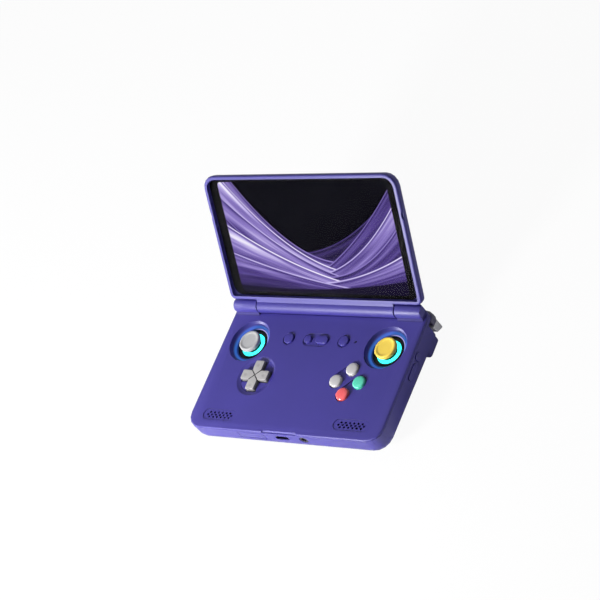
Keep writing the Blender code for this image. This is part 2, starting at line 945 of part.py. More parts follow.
def make_tray(shell):
    """Hollows the shell, leaving a solid block across the back for the hinge and the triggers."""
    shallow = rounded(half_width, 0, case_depth, front_corner, rear_corner, shell_wall)
    cut(shell, new_tool("tray_step", slab(shallow, -block_top, overrun), deck))
    deep = rounded(half_width - shell_wall, shell_wall, tray_back, front_corner - shell_wall, tray_corner)
    cut(shell, new_tool("tray", slab(deep, -tray_depth, overrun), deck))
    saddle = box((-channel_half, tray_back, -block_top), (channel_half, case_depth + overrun, overrun))
    cut(shell, new_tool("saddle", saddle, deck))


def make_trigger_pockets(shell):
    """Open corners for the triggers and slots for the bumpers, with the triggers' hinge lugs."""
    far = case_depth + overrun
    form = bmesh.new()
    deep = -ridge_depth - overrun
    for side in (-1, 1):
        xs = sorted((side * pocket_x, side * (half_width + overrun)))
        add_box(form, (xs[0], pocket_front, deep), (xs[1], far, -pocket_roof))
    cut(shell, new_tool("trigger_pockets", form, deck))
    form = bmesh.new()
    for side in (-1, 1):
        xs = sorted((side * slot_x, side * (pocket_x + overrun)))
        add_box(form, (xs[0], slot_front, -slot_floor), (xs[1], far, -pocket_roof))
    cut(shell, new_tool("bumper_slots", form, deck))
    lug = arc((pivot_y, -pivot_depth), trigger_boss, -quarter, quarter, small_steps)
    root_y = pocket_front - lug_sink
    lug += [(root_y, -pivot_depth + trigger_boss), (root_y, -pivot_depth - lug_root)]
    form = bmesh.new()
    bores = bmesh.new()
    pivot = (0, pivot_y, -pivot_depth)
    for side in (-1, 1):
        for x in (lug_inner_x, lug_outer_x):
            xs = sorted((side * x, side * (x + lug_width)))
            add_slab(form, lug, *xs, "X")
            reach = (xs[0] - overrun, xs[1] + overrun)
            add_drum(bores, pivot, trigger_pin_radius + pin_clearance, *reach, small_steps, "X")
        spot = (side * bumper_pin_x, bumper_pin_y, 0)
        reach = (-bumper_pin_bottom - gap, -block_top + overrun)
        add_drum(bores, spot, pin_radius + pin_clearance, *reach, small_steps)
    join(shell, new_tool("trigger_lugs", form, deck))
    cut(shell, new_tool("pin_bores", bores, deck))


def make_vents(shell):
    """Exhaust slots through the back block and intake slots under the fan."""
    form = bmesh.new()
    for i in range(vent_count):
        x = -vent_half + 2 * vent_half * i / (vent_count - 1)
        low = (x - vent_width / 2, tray_back - overrun, -vent_bottom)
        add_box(form, low, (x + vent_width / 2, case_depth + overrun, -vent_top))
    for i in range(intake_count):
        x = fan_x - intake_half + 2 * intake_half * i / (intake_count - 1)
        low = (x - intake_width / 2, fan_y - intake_length / 2, -rear_thickness - overrun)
        add_box(form, low, (x + intake_width / 2, fan_y + intake_length / 2, -tray_depth + overrun))
    cut(shell, new_tool("vents", form, deck))


def make_front_ports(shell):
    """USB and headphone openings, and the card door's recess with its slot."""
    form = bmesh.new()
    reach = (-overrun, shell_wall + overrun)
    usb = stadium((0, -port_depth), usb_width / 2 - usb_height / 2, usb_height / 2 + gap)
    add_slab(form, usb, *reach, "Y")
    add_drum(form, (jack_x, 0, -port_depth), jack_ring + gap, *reach, round_steps, "Y")
    low = (card_x - door_half - gap, -overrun, -door_bottom - gap)
    add_box(form, low, (card_x + door_half + gap, door_thickness + gap, -door_top + gap))
    cut(shell, new_tool("front_ports", form, deck))
    half = slot_half + slot_margin
    rise = slot_rise + slot_margin_rise
    low = (card_x - half, door_thickness, -port_depth - rise)
    slot = box(low, (card_x + half, shell_wall + overrun, rise - port_depth))
    cut(shell, new_tool("card_slot", slot, deck))


def make_side_holes(shell):
    form = bmesh.new()
    low = half_width - shell_wall - overrun
    high = half_width + overrun
    add_drum(form, (0, power_y, -power_depth), power_radius + gap, low, high, round_steps, "X")
    add_slab(form, stadium((rocker_y, -rocker_depth), rocker_half, rocker_radius + gap), low, high, "X")
    cut(shell, new_tool("side_holes", form, deck))


def foot_places():
    """Foot name to place and the height of the face it is set into."""
    places = {}
    for side, name in ((-1, "left"), (1, "right")):
        places["foot_front_" + name] = (side * front_foot_x, front_foot_y, case_bottom(front_foot_y))
        places["foot_rear_" + name] = (side * rear_foot_x, rear_foot_y, -ridge_depth)
    return places


def make_bottom_shell():
    """Tray with ridges, trigger corners, vents, ports, screw bosses and foot recesses."""
    form = loft(case_outline, round_levels(-front_thickness, -shell_top, underside_round, 0))
    underside(form)
    shell = new_piece("bottom_shell", form, deck, (indigo, shell_roughness))
    make_ridges(shell)
    make_tray(shell)
    make_trigger_pockets(shell)
    make_vents(shell)
    make_front_ports(shell)
    make_side_holes(shell)
    make_scoop(shell, "tray_scoop")
    bosses = bmesh.new()
    bores = bmesh.new()
    wells = bmesh.new()
    for x, y in screw_places().values():
        add_drum(bosses, (x, y, 0), boss_radius, -tray_depth - gap, -boss_top, small_steps)
        add_drum(bores, (x, y, 0), screw_bore, -screw_seat - overrun, -boss_top + overrun, small_steps)
        add_drum(wells, (x, y, 0), screw_well, -ridge_depth, -screw_seat, small_steps)
    join(shell, new_tool("tray_bosses", bosses, deck))
    cut(shell, new_tool("screw_bores", bores, deck))
    cut(shell, new_tool("screw_wells", wells, deck))
    feet = bmesh.new()
    for x, y, level in foot_places().values():
        outline = stadium((x, y), foot_half, foot_radius + gap, edge_steps)
        add_slab(feet, outline, level - overrun, level + foot_recess)
    cut(shell, new_tool("foot_recesses", feet, deck))


# Lid

def make_lid_frame():
    """Screen rim with the ledge that holds the glass, and the long middle barrel of the hinge."""
    levels = round_levels(flange_level, rim_level, 0, rim_round)
    frame = new_piece("lid_frame", loft(lid_outline, levels), lid, (indigo, shell_roughness))
    levels = round_levels(-frame_floor, rim_level - rim_round, frame_round, 0)
    body = loft(lid_outline, [(inset + lid_wall + gap, level) for inset, level in levels])
    join(frame, new_tool("frame_body", body, lid))
    form = drum((0, 0, 0), barrel_radius, -barrel_half, barrel_half, fine_steps, "X")
    join(frame, new_tool("lid_barrel", form, lid))
    web = box((-barrel_half, 0, -web_depth), (barrel_half, pocket_low - gap, rim_level))
    join(frame, new_tool("lid_web", web, lid))
    corner = lid_top_corner - rim_width
    low_corner = lid_low_corner - rim_width
    pocket = rounded(pocket_half, pocket_low, pocket_high, low_corner, corner)
    floor = glass_level - glass_thickness - gap
    cut(frame, new_tool("glass_pocket", slab(pocket, floor, rim_level + overrun), lid))
    window = rounded(pocket_half, pocket_low, pocket_high, low_corner, corner, ledge_width)
    cut(frame, new_tool("screen_window", slab(window, -frame_floor - overrun, floor + overrun), lid))
    radius = (notch_length ** 2 / 4 + notch_depth ** 2) / (2 * notch_depth)
    notches = bmesh.new()
    bores = bmesh.new()
    for side in (-1, 1):
        spot = (side * (lid_half + radius - notch_depth), notch_height, 0)
        add_drum(notches, spot, radius, flange_level - gap, rim_level + overrun, fine_steps)
        ends = sorted((side * (shaft_inner - gap), side * (barrel_half + overrun)))
        add_drum(bores, (0, 0, 0), shaft_radius + shaft_clearance, *ends, small_steps, "X")
    cut(frame, new_tool("finger_notches", notches, lid))
    cut(frame, new_tool("barrel_bores", bores, lid))


def make_lid_back():
    """Crowned outer tray of the lid, notched for the web of the middle barrel."""
    levels = round_levels(back_level, flange_level - gap, lid_back_round, 0)
    tray = new_piece("lid_back", loft(lid_outline, levels), lid, (indigo, shell_roughness))
    inside = lid_back_round - lid_wall
    levels = round_levels(back_level + lid_floor, flange_level + overrun, inside, 0)
    form = loft(lid_outline, [(inset + lid_wall, level) for inset, level in levels])
    cut(tray, new_tool("lid_inside", form, lid))
    low = (-barrel_half - gap, 0, -web_depth - gap)
    notch = box(low, (barrel_half + gap, pocket_low, rim_level))
    cut(tray, new_tool("web_notch", notch, lid))


def make_screen():
    """Cover glass in its pocket, with the display panel behind it in the window."""
    corner = lid_top_corner - rim_width
    low_corner = lid_low_corner - rim_width
    outline = rounded(pocket_half, pocket_low, pocket_high, low_corner, corner, gap)
    glass = slab(outline, glass_level - glass_thickness, glass_level)
    new_piece("screen_glass", glass, lid, ((0.012, 0.011, 0.016), 0.08))
    inset = ledge_width + panel_margin
    outline = rounded(pocket_half, pocket_low, pocket_high, low_corner, corner, inset, 1)
    top = glass_level - glass_thickness - gap
    new_piece("display_panel", slab(outline, top - panel_thickness, top), lid, ((0.10, 0.09, 0.16), 0.2))


def make_hinge_shaft(side, name):
    """Steel shaft of the friction hinge, fixed in the hump and running in the barrel."""
    ends = sorted((side * shaft_inner, side * shaft_outer))
    form = drum((0, 0, 0), shaft_radius, *ends, small_steps, "X")
    new_piece(name, form, deck, ((0.55, 0.55, 0.57), 0.3, 1.0), (0, hinge_y, hinge_height))


# Sticks

def make_stick(side, name, colour):
    """Housing, light ring, gimbal ring, shaft and cap of one thumb stick."""
    centre = (side * stick_x, stick_y)
    pivot = (*centre, -stick_pivot)
    half = housing_side / 2
    low = (centre[0] - half, centre[1] - half, -housing_bottom)
    form = box(low, (centre[0] + half, centre[1] + half, -housing_top))
    housing = new_piece(name + "_stick_housing", form, deck, ((0.03, 0.03, 0.035), 0.5))
    levels = (-housing_top - housing_flange_thickness, -housing_top)
    flange = drum((*centre, 0), housing_flange, *levels, round_steps)
    join(housing, new_tool(name + "_housing_flange", flange, deck))
    well = drum((*centre, 0), housing_bore, -housing_floor, -housing_top + overrun, round_steps)
    cut(housing, new_tool(name + "_housing_well", well, deck))
    reach = trunnion_reach + gap
    bore = drum(pivot, trunnion_radius + trunnion_clearance, -reach, reach, small_steps, "X")
    cut(housing, new_tool(name + "_trunnion_bore", bore, deck))
    section = band(ring_inner, ring_outer, -housing_top + gap, -ring_top)
    ring = new_piece(name + "_light_ring", section, deck, ((0.06, 1.0, 0.9), 0.3), (*centre, 0))
    turn(ring, round_steps)
    section = band(gimbal_inner, gimbal_outer, -gimbal_half, gimbal_half)
    gimbal = new_piece(name + "_gimbal", section, deck, ((0.6, 0.6, 0.62), 0.35, 1.0), pivot)
    turn(gimbal, round_steps)
    pins = bmesh.new()
    for way in (-1, 1):
        ends = sorted((way * trunnion_root, way * trunnion_reach))
        add_drum(pins, (0, 0, 0), trunnion_radius, *ends, small_steps, "X")
    join(gimbal, new_tool(name + "_trunnions", pins, deck, pivot))
    reach = gimbal_outer + overrun
    bore = drum((0, 0, 0), trunnion_radius + trunnion_clearance, -reach, reach, small_steps, "Y")
    cut(gimbal, new_tool(name + "_stub_bore", bore, deck, pivot))
    hub = ball((0, 0, 0), hub_radius, round_steps)
    shaft = new_piece(name + "_stick_shaft", hub, deck, ((0.04, 0.04, 0.045), 0.45), pivot)
    stubs = drum((0, 0, 0), trunnion_radius, -stub_reach, stub_reach, small_steps, "Y")
    join(shaft, new_tool(name + "_stubs", stubs, deck, pivot))
    stem = drum((0, 0, 0), stem_radius, 0, stick_pivot - stem_top, small_steps)
    join(shaft, new_tool(name + "_stem", stem, deck, pivot))
    turn(new_piece(name + "_stick_cap", profile(cap_rows()), deck, (colour, 0.45), pivot), fine_steps)


def cap_rows():
    """Dished grip with a raised ring, a skirt and a socket for the shaft, from the pivot."""
    shoulder = cap_radius - cap_land
    bore = stem_radius + gap
    inner = cap_ridge - cap_land
    rows = [
        (0, cap_height - cap_dish), (inner, cap_height - cap_dish / 2), (cap_ridge, cap_height),
        (shoulder, cap_height), (cap_radius, cap_height - cap_land), (cap_radius, cap_land / 2 - cap_skirt),
        (shoulder, -cap_skirt), (cap_boss, -cap_skirt), (cap_boss, -cap_boss_bottom),
        (bore, -cap_boss_bottom), (bore, -cap_bore_top), (0, -cap_bore_top),
    ]
    return [(r, stick_pivot + z) for r, z in rows]


# Controls

def make_dpad():
    """Plus-shaped pad on a retaining flange, rocking on a small ball."""
    place = (dpad_x, dpad_y, -ball_depth)
    top = dpad_height + ball_depth
    form = slab(cross_outline(0), ball_depth - dpad_flange_top - gap, top)
    soften(form, top, dpad_round)
    pad = new_piece("dpad", form, deck, ((0.62, 0.60, 0.64), 0.5), place)
    levels = (ball_depth - dpad_flange_bottom, ball_depth - dpad_flange_top)
    flange = drum((0, 0, 0), dpad_flange_radius, *levels, round_steps)
    join(pad, new_tool("dpad_flange", flange, deck, place))
    reach = dpad_arm * sqrt(2) - dpad_groove
    for name, turn in (("rising", pi / 4), ("falling", -pi / 4)):
        low = (-reach, -dpad_groove / 2, top - dpad_groove_depth)
        form = box(low, (reach, dpad_groove / 2, top + overrun))
        groove = new_tool("dpad_groove_" + name, form, deck, place)
        groove.rotation_euler.z = turn
        cut(pad, groove)
    dimples = bmesh.new()
    reach = dimple_share * dpad_half
    for x, y in ((reach, 0), (0, reach), (-reach, 0), (0, -reach)):
        add_drum(dimples, (x, y, 0), dimple_radius, top - dimple_depth, top + overrun, small_steps)
    cut(pad, new_tool("dpad_dimples", dimples, deck, place))
    cut(pad, new_tool("ball_seat", ball((0, 0, 0), ball_radius + gap, small_steps), deck, place))
    form = ball((0, 0, 0), ball_radius, small_steps)
    new_piece("dpad_ball", form, deck, ((0.6, 0.6, 0.62), 0.3, 1.0), place)


def button_rows(radius, height, shoulder, bottom=flange_bottom):
    """Domed button with a retaining flange, as radius and height pairs."""
    rise = height - shoulder
    dome = [(radius * sin(quarter * share), shoulder + rise * cos(quarter * share)) for share in dome_shares]
    edge = radius + flange_step
    return dome + [(radius, -flange_top), (edge, -flange_top), (edge, -bottom), (0, -bottom)]


def make_face_buttons():
    colours = {
        "button_up": (0.42, 0.41, 0.44), "button_left": (0.42, 0.41, 0.44),
        "button_right": (0.12, 0.66, 0.46), "button_down": (0.90, 0.20, 0.20),
    }
    for name, (x, y) in face_places().items():
        form = profile(button_rows(face_radius, face_height, face_shoulder))
        turn(new_piece(name, form, deck, (colours[name], 0.35), (x, y, 0)), round_steps)


def make_menu_buttons():
    rounds = {
        "menu_button_left": (menu_left_x, menu_radius), "menu_button_right": (menu_right_x, menu_radius),
        "menu_button_small": (small_x, small_radius),
    }
    for name, (x, radius) in rounds.items():
        form = profile(button_rows(radius, menu_height, menu_height - menu_edge))
        turn(new_piece(name, form, deck, (indigo, button_roughness), (x, menu_y, 0)), round_steps)
    form = slab(stadium((0, 0), pill_half, small_radius), -flange_top - gap, menu_height)
    soften(form, menu_height, menu_edge)
    pill = new_piece("menu_button_pill", form, deck, (indigo, button_roughness), (pill_x, menu_y, 0))
    flange = slab(stadium((0, 0), pill_half, small_radius + flange_step), -flange_bottom, -flange_top)
    join(pill, new_tool("pill_flange", flange, deck, (pill_x, menu_y, 0)))


def make_status_light():
    """Light pipe with a foot that keeps it under the deck."""
    rows = [(0, 0), (light_radius, 0), (light_radius, -flange_top)]
    rows += [(light_foot, -flange_top), (light_foot, -light_bottom), (0, -light_bottom)]
    light = new_piece("status_light", profile(rows), deck, ((0.35, 0.32, 0.55), 0.3), (light_x, menu_y, 0))
    turn(light, small_steps)


def make_side_buttons():
    """Round power button and long volume rocker in the right side wall."""
    reach = half_width + side_proud
    form = drum((0, 0, 0), power_radius, side_inner - half_width, side_proud, round_steps, "X")
    place = (half_width, power_y, -power_depth)
    power = new_piece("power_button", form, deck, (indigo, button_roughness), place)
    ends = (side_flange_inner - half_width, side_flange_outer - half_width)
    flange = drum((0, 0, 0), power_radius + side_flange_step, *ends, round_steps, "X")
    join(power, new_tool("power_flange", flange, deck, place))
    axis = side_flange_outer
    place = (axis, rocker_y, -rocker_depth)
    outline = stadium((0, 0), rocker_half, rocker_radius)
    form = slab(outline, side_inner - axis, reach - axis, "X")
    rocker = new_piece("volume_rocker", form, deck, (indigo, button_roughness), place)
    outline = stadium((0, 0), rocker_half, rocker_radius + side_flange_step)
    flange = slab(outline, side_flange_inner - axis, side_flange_outer - axis, "X")
    join(rocker, new_tool("rocker_flange", flange, deck, place))


# Bumpers and triggers

def bumper_outline(side, inset=0):
    """Plan of a bumper: a bar along the back edge that swells out as it wraps round the corner."""
    centre = (half_width - rear_corner, case_depth - rear_corner)
    start = asin((bumper_wrap_y - centre[1]) / rear_corner)
    inner = rear_corner - bumper_thickness
    inner_start = asin(min((bumper_wrap_y - centre[1]) / inner, 1))
    points = [(bumper_inner_x, case_depth - bumper_thickness)]
    points += arc(centre, inner, quarter, inner_start, corner_steps)
    for i in range(corner_steps + 1):
        a = start + (quarter - start) * i / corner_steps
        reach = rear_corner + (bumper_proud - inset) * sin(quarter * min(2 * i / corner_steps, 1))
        points.append((centre[0] + reach * cos(a), centre[1] + reach * sin(a)))
    points.append((bumper_inner_x, case_depth))
    return [(side * x, y) for x, y in points]


def make_bumper(side, name):
    """Bumper bar with its bore, and the upright pin it swings on."""
    place = (side * bumper_pin_x, bumper_pin_y, 0)
    levels = round_levels(-bumper_bottom, -bumper_top, 0, bumper_proud)
    form = loft(lambda inset: [(x - place[0], y - place[1]) for x, y in bumper_outline(side, inset)], levels)
    bar = new_piece(name + "_bumper", form, deck, ((0.20, 0.20, 0.22), 0.45), place)
    reach = (-bumper_bottom - overrun, -bumper_top + overrun)
    bore = drum((0, 0, 0), pin_radius + pin_clearance, *reach, small_steps)
    cut(bar, new_tool(name + "_bumper_bore", bore, deck, place))
    form = drum((0, 0, 0), pin_radius, -bumper_pin_bottom, -bumper_pin_top, small_steps)
    new_piece(name + "_bumper_pin", form, deck, ((0.6, 0.6, 0.62), 0.3, 1.0), place)


def trigger_outline():
    """Side view of a trigger from its pivot: boss, chin, flared tip, waist and crown."""
    boss = arc((0, 0), trigger_boss, 0, pi, small_steps)
    return boss + [(trigger_reach * across, -trigger_drop * down) for across, down in trigger_shares]


def make_trigger(side, name):
    """Trigger blade slotted for the two lugs, on a cross pin, rounded like the case's corner."""
    place = (0, pivot_y, -pivot_depth)
    ends = sorted((side * trigger_inner_x, side * trigger_outer_x))
    form = slab(trigger_outline(), *ends, "X")
    blade = new_piece(name + "_trigger", form, deck, ((0.40, 0.40, 0.42), 0.4), place)
    limit = slab(case_outline(-trigger_proud), -ridge_depth - overrun, overrun)
    trim(blade, new_tool(name + "_trigger_limit", limit, deck))
    form = bmesh.new()
    for x in (lug_inner_x, lug_outer_x):
        xs = sorted((side * (x - gap), side * (x + lug_width + gap)))
        add_box(form, (xs[0], -trigger_boss - overrun, -lug_slot), (xs[1], lug_slot, trigger_boss + overrun))
    xs = sorted((side * trigger_shoulder_x, side * (trigger_outer_x + overrun)))
    far = (xs[1], trigger_reach + overrun, pivot_depth)
    add_box(form, (xs[0], -trigger_reach, pivot_depth - slot_floor), far)
    cut(blade, new_tool(name + "_trigger_clearances", form, deck, place))
    reach = sorted((side * (trigger_inner_x - overrun), side * (trigger_outer_x + overrun)))
    bore = drum((0, 0, 0), trigger_pin_radius + pin_clearance, *reach, small_steps, "X")
    cut(blade, new_tool(name + "_trigger_bore", bore, deck, place))
    ends = sorted((side * trigger_pin_inner, side * trigger_pin_outer))
    form = drum((0, 0, 0), trigger_pin_radius, *ends, small_steps, "X")
    new_piece(name + "_trigger_pin", form, deck, ((0.6, 0.6, 0.62), 0.3, 1.0), place)


# Front ports

def make_usb_socket():
    """Drawn steel shell, closed at the back, with the contact tongue inside."""
    place = (0, usb_setback, -port_depth)
    half = (usb_width - usb_height) / 2
    form = slab(stadium((0, 0), half, usb_height / 2), 0, usb_length, "Y")
    socket = new_piece("usb_socket", form, deck, ((0.55, 0.55, 0.57), 0.3, 1.0), place)
    inner = slab(stadium((0, 0), half, usb_height / 2 - usb_wall), -overrun, usb_length - usb_wall, "Y")
    cut(socket, new_tool("usb_inside", inner, deck, place))
    low = (-usb_tongue_width / 2, usb_length - usb_tongue_length, -usb_tongue_height / 2)
    tongue = box(low, (usb_tongue_width / 2, usb_length - usb_wall / 2, usb_tongue_height / 2))
    join(socket, new_tool("usb_tongue", tongue, deck, place))


def make_headphone_jack():
    place = (jack_x, 0, -port_depth)
    form = drum((0, 0, 0), jack_ring, jack_setback, jack_body_front + gap, round_steps, "Y")
    jack = new_piece("headphone_jack", form, deck, ((0.65, 0.65, 0.68), 0.35), place)
    low = (-jack_body_half, jack_body_front, -jack_body_rise)
    form = box(low, (jack_body_half, jack_body_back, jack_body_rise))
    join(jack, new_tool("jack_body", form, deck, place))
    bore = drum((0, 0, 0), jack_bore, jack_setback - overrun, jack_bore_depth, small_steps, "Y")
    cut(jack, new_tool("jack_bore", bore, deck, place))


def make_card_reader():
    low = (card_x - reader_half, reader_front, -port_depth - reader_rise)
    form = box(low, (card_x + reader_half, reader_back, reader_rise - port_depth))
    reader = new_piece("card_reader", form, deck, ((0.5, 0.5, 0.52), 0.35, 1.0))
    low = (card_x - slot_half, reader_front - overrun, -port_depth - slot_rise)
    slot = box(low, (card_x + slot_half, reader_front + slot_length, slot_rise - port_depth))
    cut(reader, new_tool("reader_slot", slot, deck))


def make_card_door():
    """Flap over the card slot, rounded along its lower edge, where it turns."""
    radius = door_thickness / 2
    place = (card_x, radius, -door_bottom + radius)
    outline = arc((0, 0), radius, pi, 2 * pi, small_steps // 2)
    height = door_bottom - door_top - radius
    outline += [(radius, height), (-radius, height)]
    new_piece("card_door", slab(outline, -door_half, door_half, "X"), deck, (indigo, shell_roughness), place)


# Inside the case

def make_mainboard():
    """Circuit board with square openings for the stick housings and round ones for the bosses."""
    outline = rounded(board_half, board_front, board_back, board_corner, board_corner, 0, edge_steps)
    form = slab(outline, -board_bottom, -board_depth)
    board = new_piece("mainboard", form, deck, ((0.02, 0.10, 0.06), 0.5))
    form = bmesh.new()
    half = housing_side / 2 + board_clearance
    for side in (-1, 1):
        low = (side * stick_x - half, stick_y - half, -board_bottom - overrun)
        add_box(form, low, (side * stick_x + half, stick_y + half, -board_depth + overrun))
    for x, y in screw_places().values():
        ends = (-board_bottom - overrun, -board_depth + overrun)
        add_drum(form, (x, y, 0), boss_radius + board_clearance, *ends, small_steps)
    cut(board, new_tool("board_openings", form, deck))


def make_pads():
    """Silicone sheets between the board and the face buttons and d-pad."""
    base = -board_depth + gap
    pad = drum((0, 0, 0), face_pad_radius, base, -pad_top, round_steps)
    new_piece("button_pad", pad, deck, ((0.5, 0.5, 0.5), 0.7), (face_x, face_y, 0))
    section = band(dpad_pad_inner, dpad_pad_outer, base, -pad_top)
    turn(new_piece("dpad_pad", section, deck, ((0.5, 0.5, 0.5), 0.7), (dpad_x, dpad_y, 0)), round_steps)


def make_battery():
    height = battery_bottom - battery_top
    outline = rounded(battery_half, battery_front, battery_back, battery_round, battery_round, 0, edge_steps)
    form = slab(outline, -battery_bottom, -battery_bottom + height)
    new_piece("battery", form, deck, ((0.05, 0.05, 0.06), 0.4))


def make_fan_housing():
    """Square frame with a round bore, a spoked floor and the rotor's pin."""
    outline = rounded(fan_half, -fan_half, fan_half, fan_corner, fan_corner, 0, edge_steps)
    place = (fan_x, fan_y, 0)
    form = slab(outline, -fan_bottom, -fan_top)
    housing = new_piece("fan_housing", form, deck, ((0.05, 0.05, 0.055), 0.5), place)
    bore = drum((0, 0, 0), fan_bore, -fan_bottom - overrun, -fan_top + overrun, fine_steps)
    cut(housing, new_tool("fan_bore", bore, deck, place))
    floor = -fan_bottom + fan_plate
    low = (-fan_bore - gap, -fan_strut / 2, -fan_bottom)
    spokes = new_tool("fan_spokes", box(low, (fan_bore + gap, fan_strut / 2, floor)), deck, place)
    low = (-fan_strut / 2, -fan_bore - gap, -fan_bottom)
    join(spokes, new_tool("fan_cross_spoke", box(low, (fan_strut / 2, fan_bore + gap, floor)), deck, place))
    seat = drum((0, 0, 0), fan_seat, -fan_bottom, floor, small_steps)
    join(spokes, new_tool("fan_seat", seat, deck, place))
    pin = drum((0, 0, 0), fan_pin, -fan_bottom + fan_plate / 2, -fan_top - 2 * gap, small_steps)
    join(spokes, new_tool("fan_pin", pin, deck, place))
    join(housing, spokes)


def make_fan_rotor():
    """Hub cup over the pin, with straight blades set at a slant."""
    place = (fan_x, fan_y, 0)
    low = -fan_bottom + fan_plate + gap
    high = -fan_top - gap / 2
    bore = fan_pin + gap
    roof = -fan_top - gap
    rows = [(0, high), (fan_hub, high), (fan_hub, low), (bore, low), (bore, roof), (0, roof)]
    rotor = turn(new_piece("fan_rotor", profile(rows), deck, ((0.03, 0.03, 0.035), 0.5), place), round_steps)
    for i in range(fan_blades):
        corner = (fan_hub - fan_strut / 2, -fan_blade / 2, low + fan_blade_inset)
        blade = box(corner, (fan_reach, fan_blade / 2, high - fan_blade_inset))
        tool = new_tool("fan_blade_%d" % i, blade, deck, place)
        tool.rotation_euler.z = 2 * pi * i / fan_blades
        join(rotor, tool)


def make_heat_sink():
    """Copper plate with upright fins ahead of the exhaust slots."""
    base = box((sink_low_x, sink_front, -fan_bottom), (sink_high_x, sink_back, -fan_bottom + sink_plate))
    sink = new_piece("heat_sink", base, deck, ((0.65, 0.35, 0.22), 0.35, 1.0))
    fins = bmesh.new()
    for i in range(sink_fins):
        x = sink_low_x + (sink_high_x - sink_low_x - sink_fin) * i / (sink_fins - 1)
        low = (x, sink_front + gap, -fan_bottom + sink_plate / 2)
        add_box(fins, low, (x + sink_fin, sink_back - gap, -fan_top))
    join(sink, new_tool("sink_fins", fins, deck))


def make_speaker(side, name):
    """Boxed speaker with a shallow round cone, right under its grille."""
    place = (side * grille_x, grille_y, 0)
    half = speaker_half_width
    outline = rounded(speaker_half_length, -half, half, speaker_corner, speaker_corner, 0, edge_steps)
    form = slab(outline, -speaker_bottom, -speaker_top)
    speaker = new_piece(name + "_speaker", form, deck, ((0.03, 0.03, 0.03), 0.6), place)
    cone = drum((0, 0, 0), cone_radius, -speaker_top - cone_depth, -speaker_top + overrun, small_steps)
    cut(speaker, new_tool(name + "_speaker_cone", cone, deck, place))


def make_feet():
    for name, (x, y, level) in foot_places().items():
        top = level + foot_recess - gap
        form = slab(stadium((0, 0), foot_half, foot_radius, edge_steps), -foot_proud, top - level)
        new_piece(name, form, deck, ((0.04, 0.04, 0.05), 0.9), (x, y, level))


def make_screws():
    """Case screws, driven up from below into the top shell's bosses."""
    head_top = -screw_seat - gap
    head_low = head_top - screw_head_depth
    drive_roof = head_low + screw_drive
    rows = [
        (0, -screw_tip), (screw_shank, -screw_tip), (screw_shank, head_top), (screw_head, head_top),
        (screw_head, head_low), (screw_drive, head_low), (screw_drive, drive_roof), (0, drive_roof),
    ]
    for name, (x, y) in screw_places().items():
        turn(new_piece(name, profile(rows), deck, ((0.25, 0.25, 0.27), 0.35, 1.0), (x, y, 0)), small_steps)


# Assembly

crease = radians(35)
indigo = (0.075, 0.065, 0.29)
shell_roughness = 0.42
button_roughness = 0.38

remove_everything()
parts = new_collection("clamshell_game_console")
cutters = new_collection("cutters")
deck = new_frame("deck_datum", (0, -middle_y, deck_height))
lid = new_frame("hinge_axis", (0, hinge_y, hinge_height), (lid_lean, 0, 0), deck)

make_top_shell()
make_bottom_shell()
make_lid_frame()
make_lid_back()
make_screen()
make_hinge_shaft(-1, "hinge_shaft_left")
make_hinge_shaft(1, "hinge_shaft_right")
make_stick(-1, "left", (0.38, 0.43, 0.42))
make_stick(1, "right", (0.85, 0.56, 0.12))
make_dpad()
make_face_buttons()
make_menu_buttons()
make_status_light()
make_side_buttons()
for hand, hand_name in ((-1, "left"), (1, "right")):
    make_bumper(hand, hand_name)
    make_trigger(hand, hand_name)
    make_speaker(hand, hand_name)
make_usb_socket()
make_headphone_jack()
make_card_reader()
make_card_door()
make_mainboard()
make_pads()
make_battery()
make_fan_housing()
make_fan_rotor()
make_heat_sink()
make_feet()
make_screws()
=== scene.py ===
from math import cos, pi, radians, sin

import bmesh
import bpy
from mathutils import Matrix, Vector


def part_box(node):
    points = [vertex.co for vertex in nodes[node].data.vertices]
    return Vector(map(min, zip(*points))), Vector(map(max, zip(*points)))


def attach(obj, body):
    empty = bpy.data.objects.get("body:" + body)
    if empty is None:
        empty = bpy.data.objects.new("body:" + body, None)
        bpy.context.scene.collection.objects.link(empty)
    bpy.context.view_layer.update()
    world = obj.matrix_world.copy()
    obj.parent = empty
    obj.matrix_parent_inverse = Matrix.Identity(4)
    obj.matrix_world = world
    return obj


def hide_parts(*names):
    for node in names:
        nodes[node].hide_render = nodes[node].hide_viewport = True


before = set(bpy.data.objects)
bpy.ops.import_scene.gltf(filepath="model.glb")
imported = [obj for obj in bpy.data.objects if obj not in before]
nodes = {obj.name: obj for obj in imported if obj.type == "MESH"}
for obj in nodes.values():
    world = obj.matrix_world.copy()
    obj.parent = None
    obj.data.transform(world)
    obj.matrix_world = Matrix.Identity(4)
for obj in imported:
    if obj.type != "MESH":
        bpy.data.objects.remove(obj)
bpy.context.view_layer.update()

# Table, room and light
# The console stands open on a pale matt table in a white room. A near, low lamp at the front left
# lights the deck and the front edge, and weak ones at the left and above fill the shadows.


def placed(tree, kind, inputs=None, **settings):
    """Adds a shader node, with its settings and what its sockets take: a value or another socket."""
    made = tree.nodes.new("ShaderNode" + kind)
    for setting, value in settings.items():
        setattr(made, setting, value)
    for socket, value in (inputs or {}).items():
        if isinstance(value, bpy.types.NodeSocket):
            tree.links.new(value, made.inputs[socket])
        else:
            made.inputs[socket].default_value = value
    return made


def worked(tree, operation, *values):
    """The result of one step of arithmetic on numbers and sockets."""
    return placed(tree, "Math", dict(enumerate(values)), operation=operation).outputs[0]


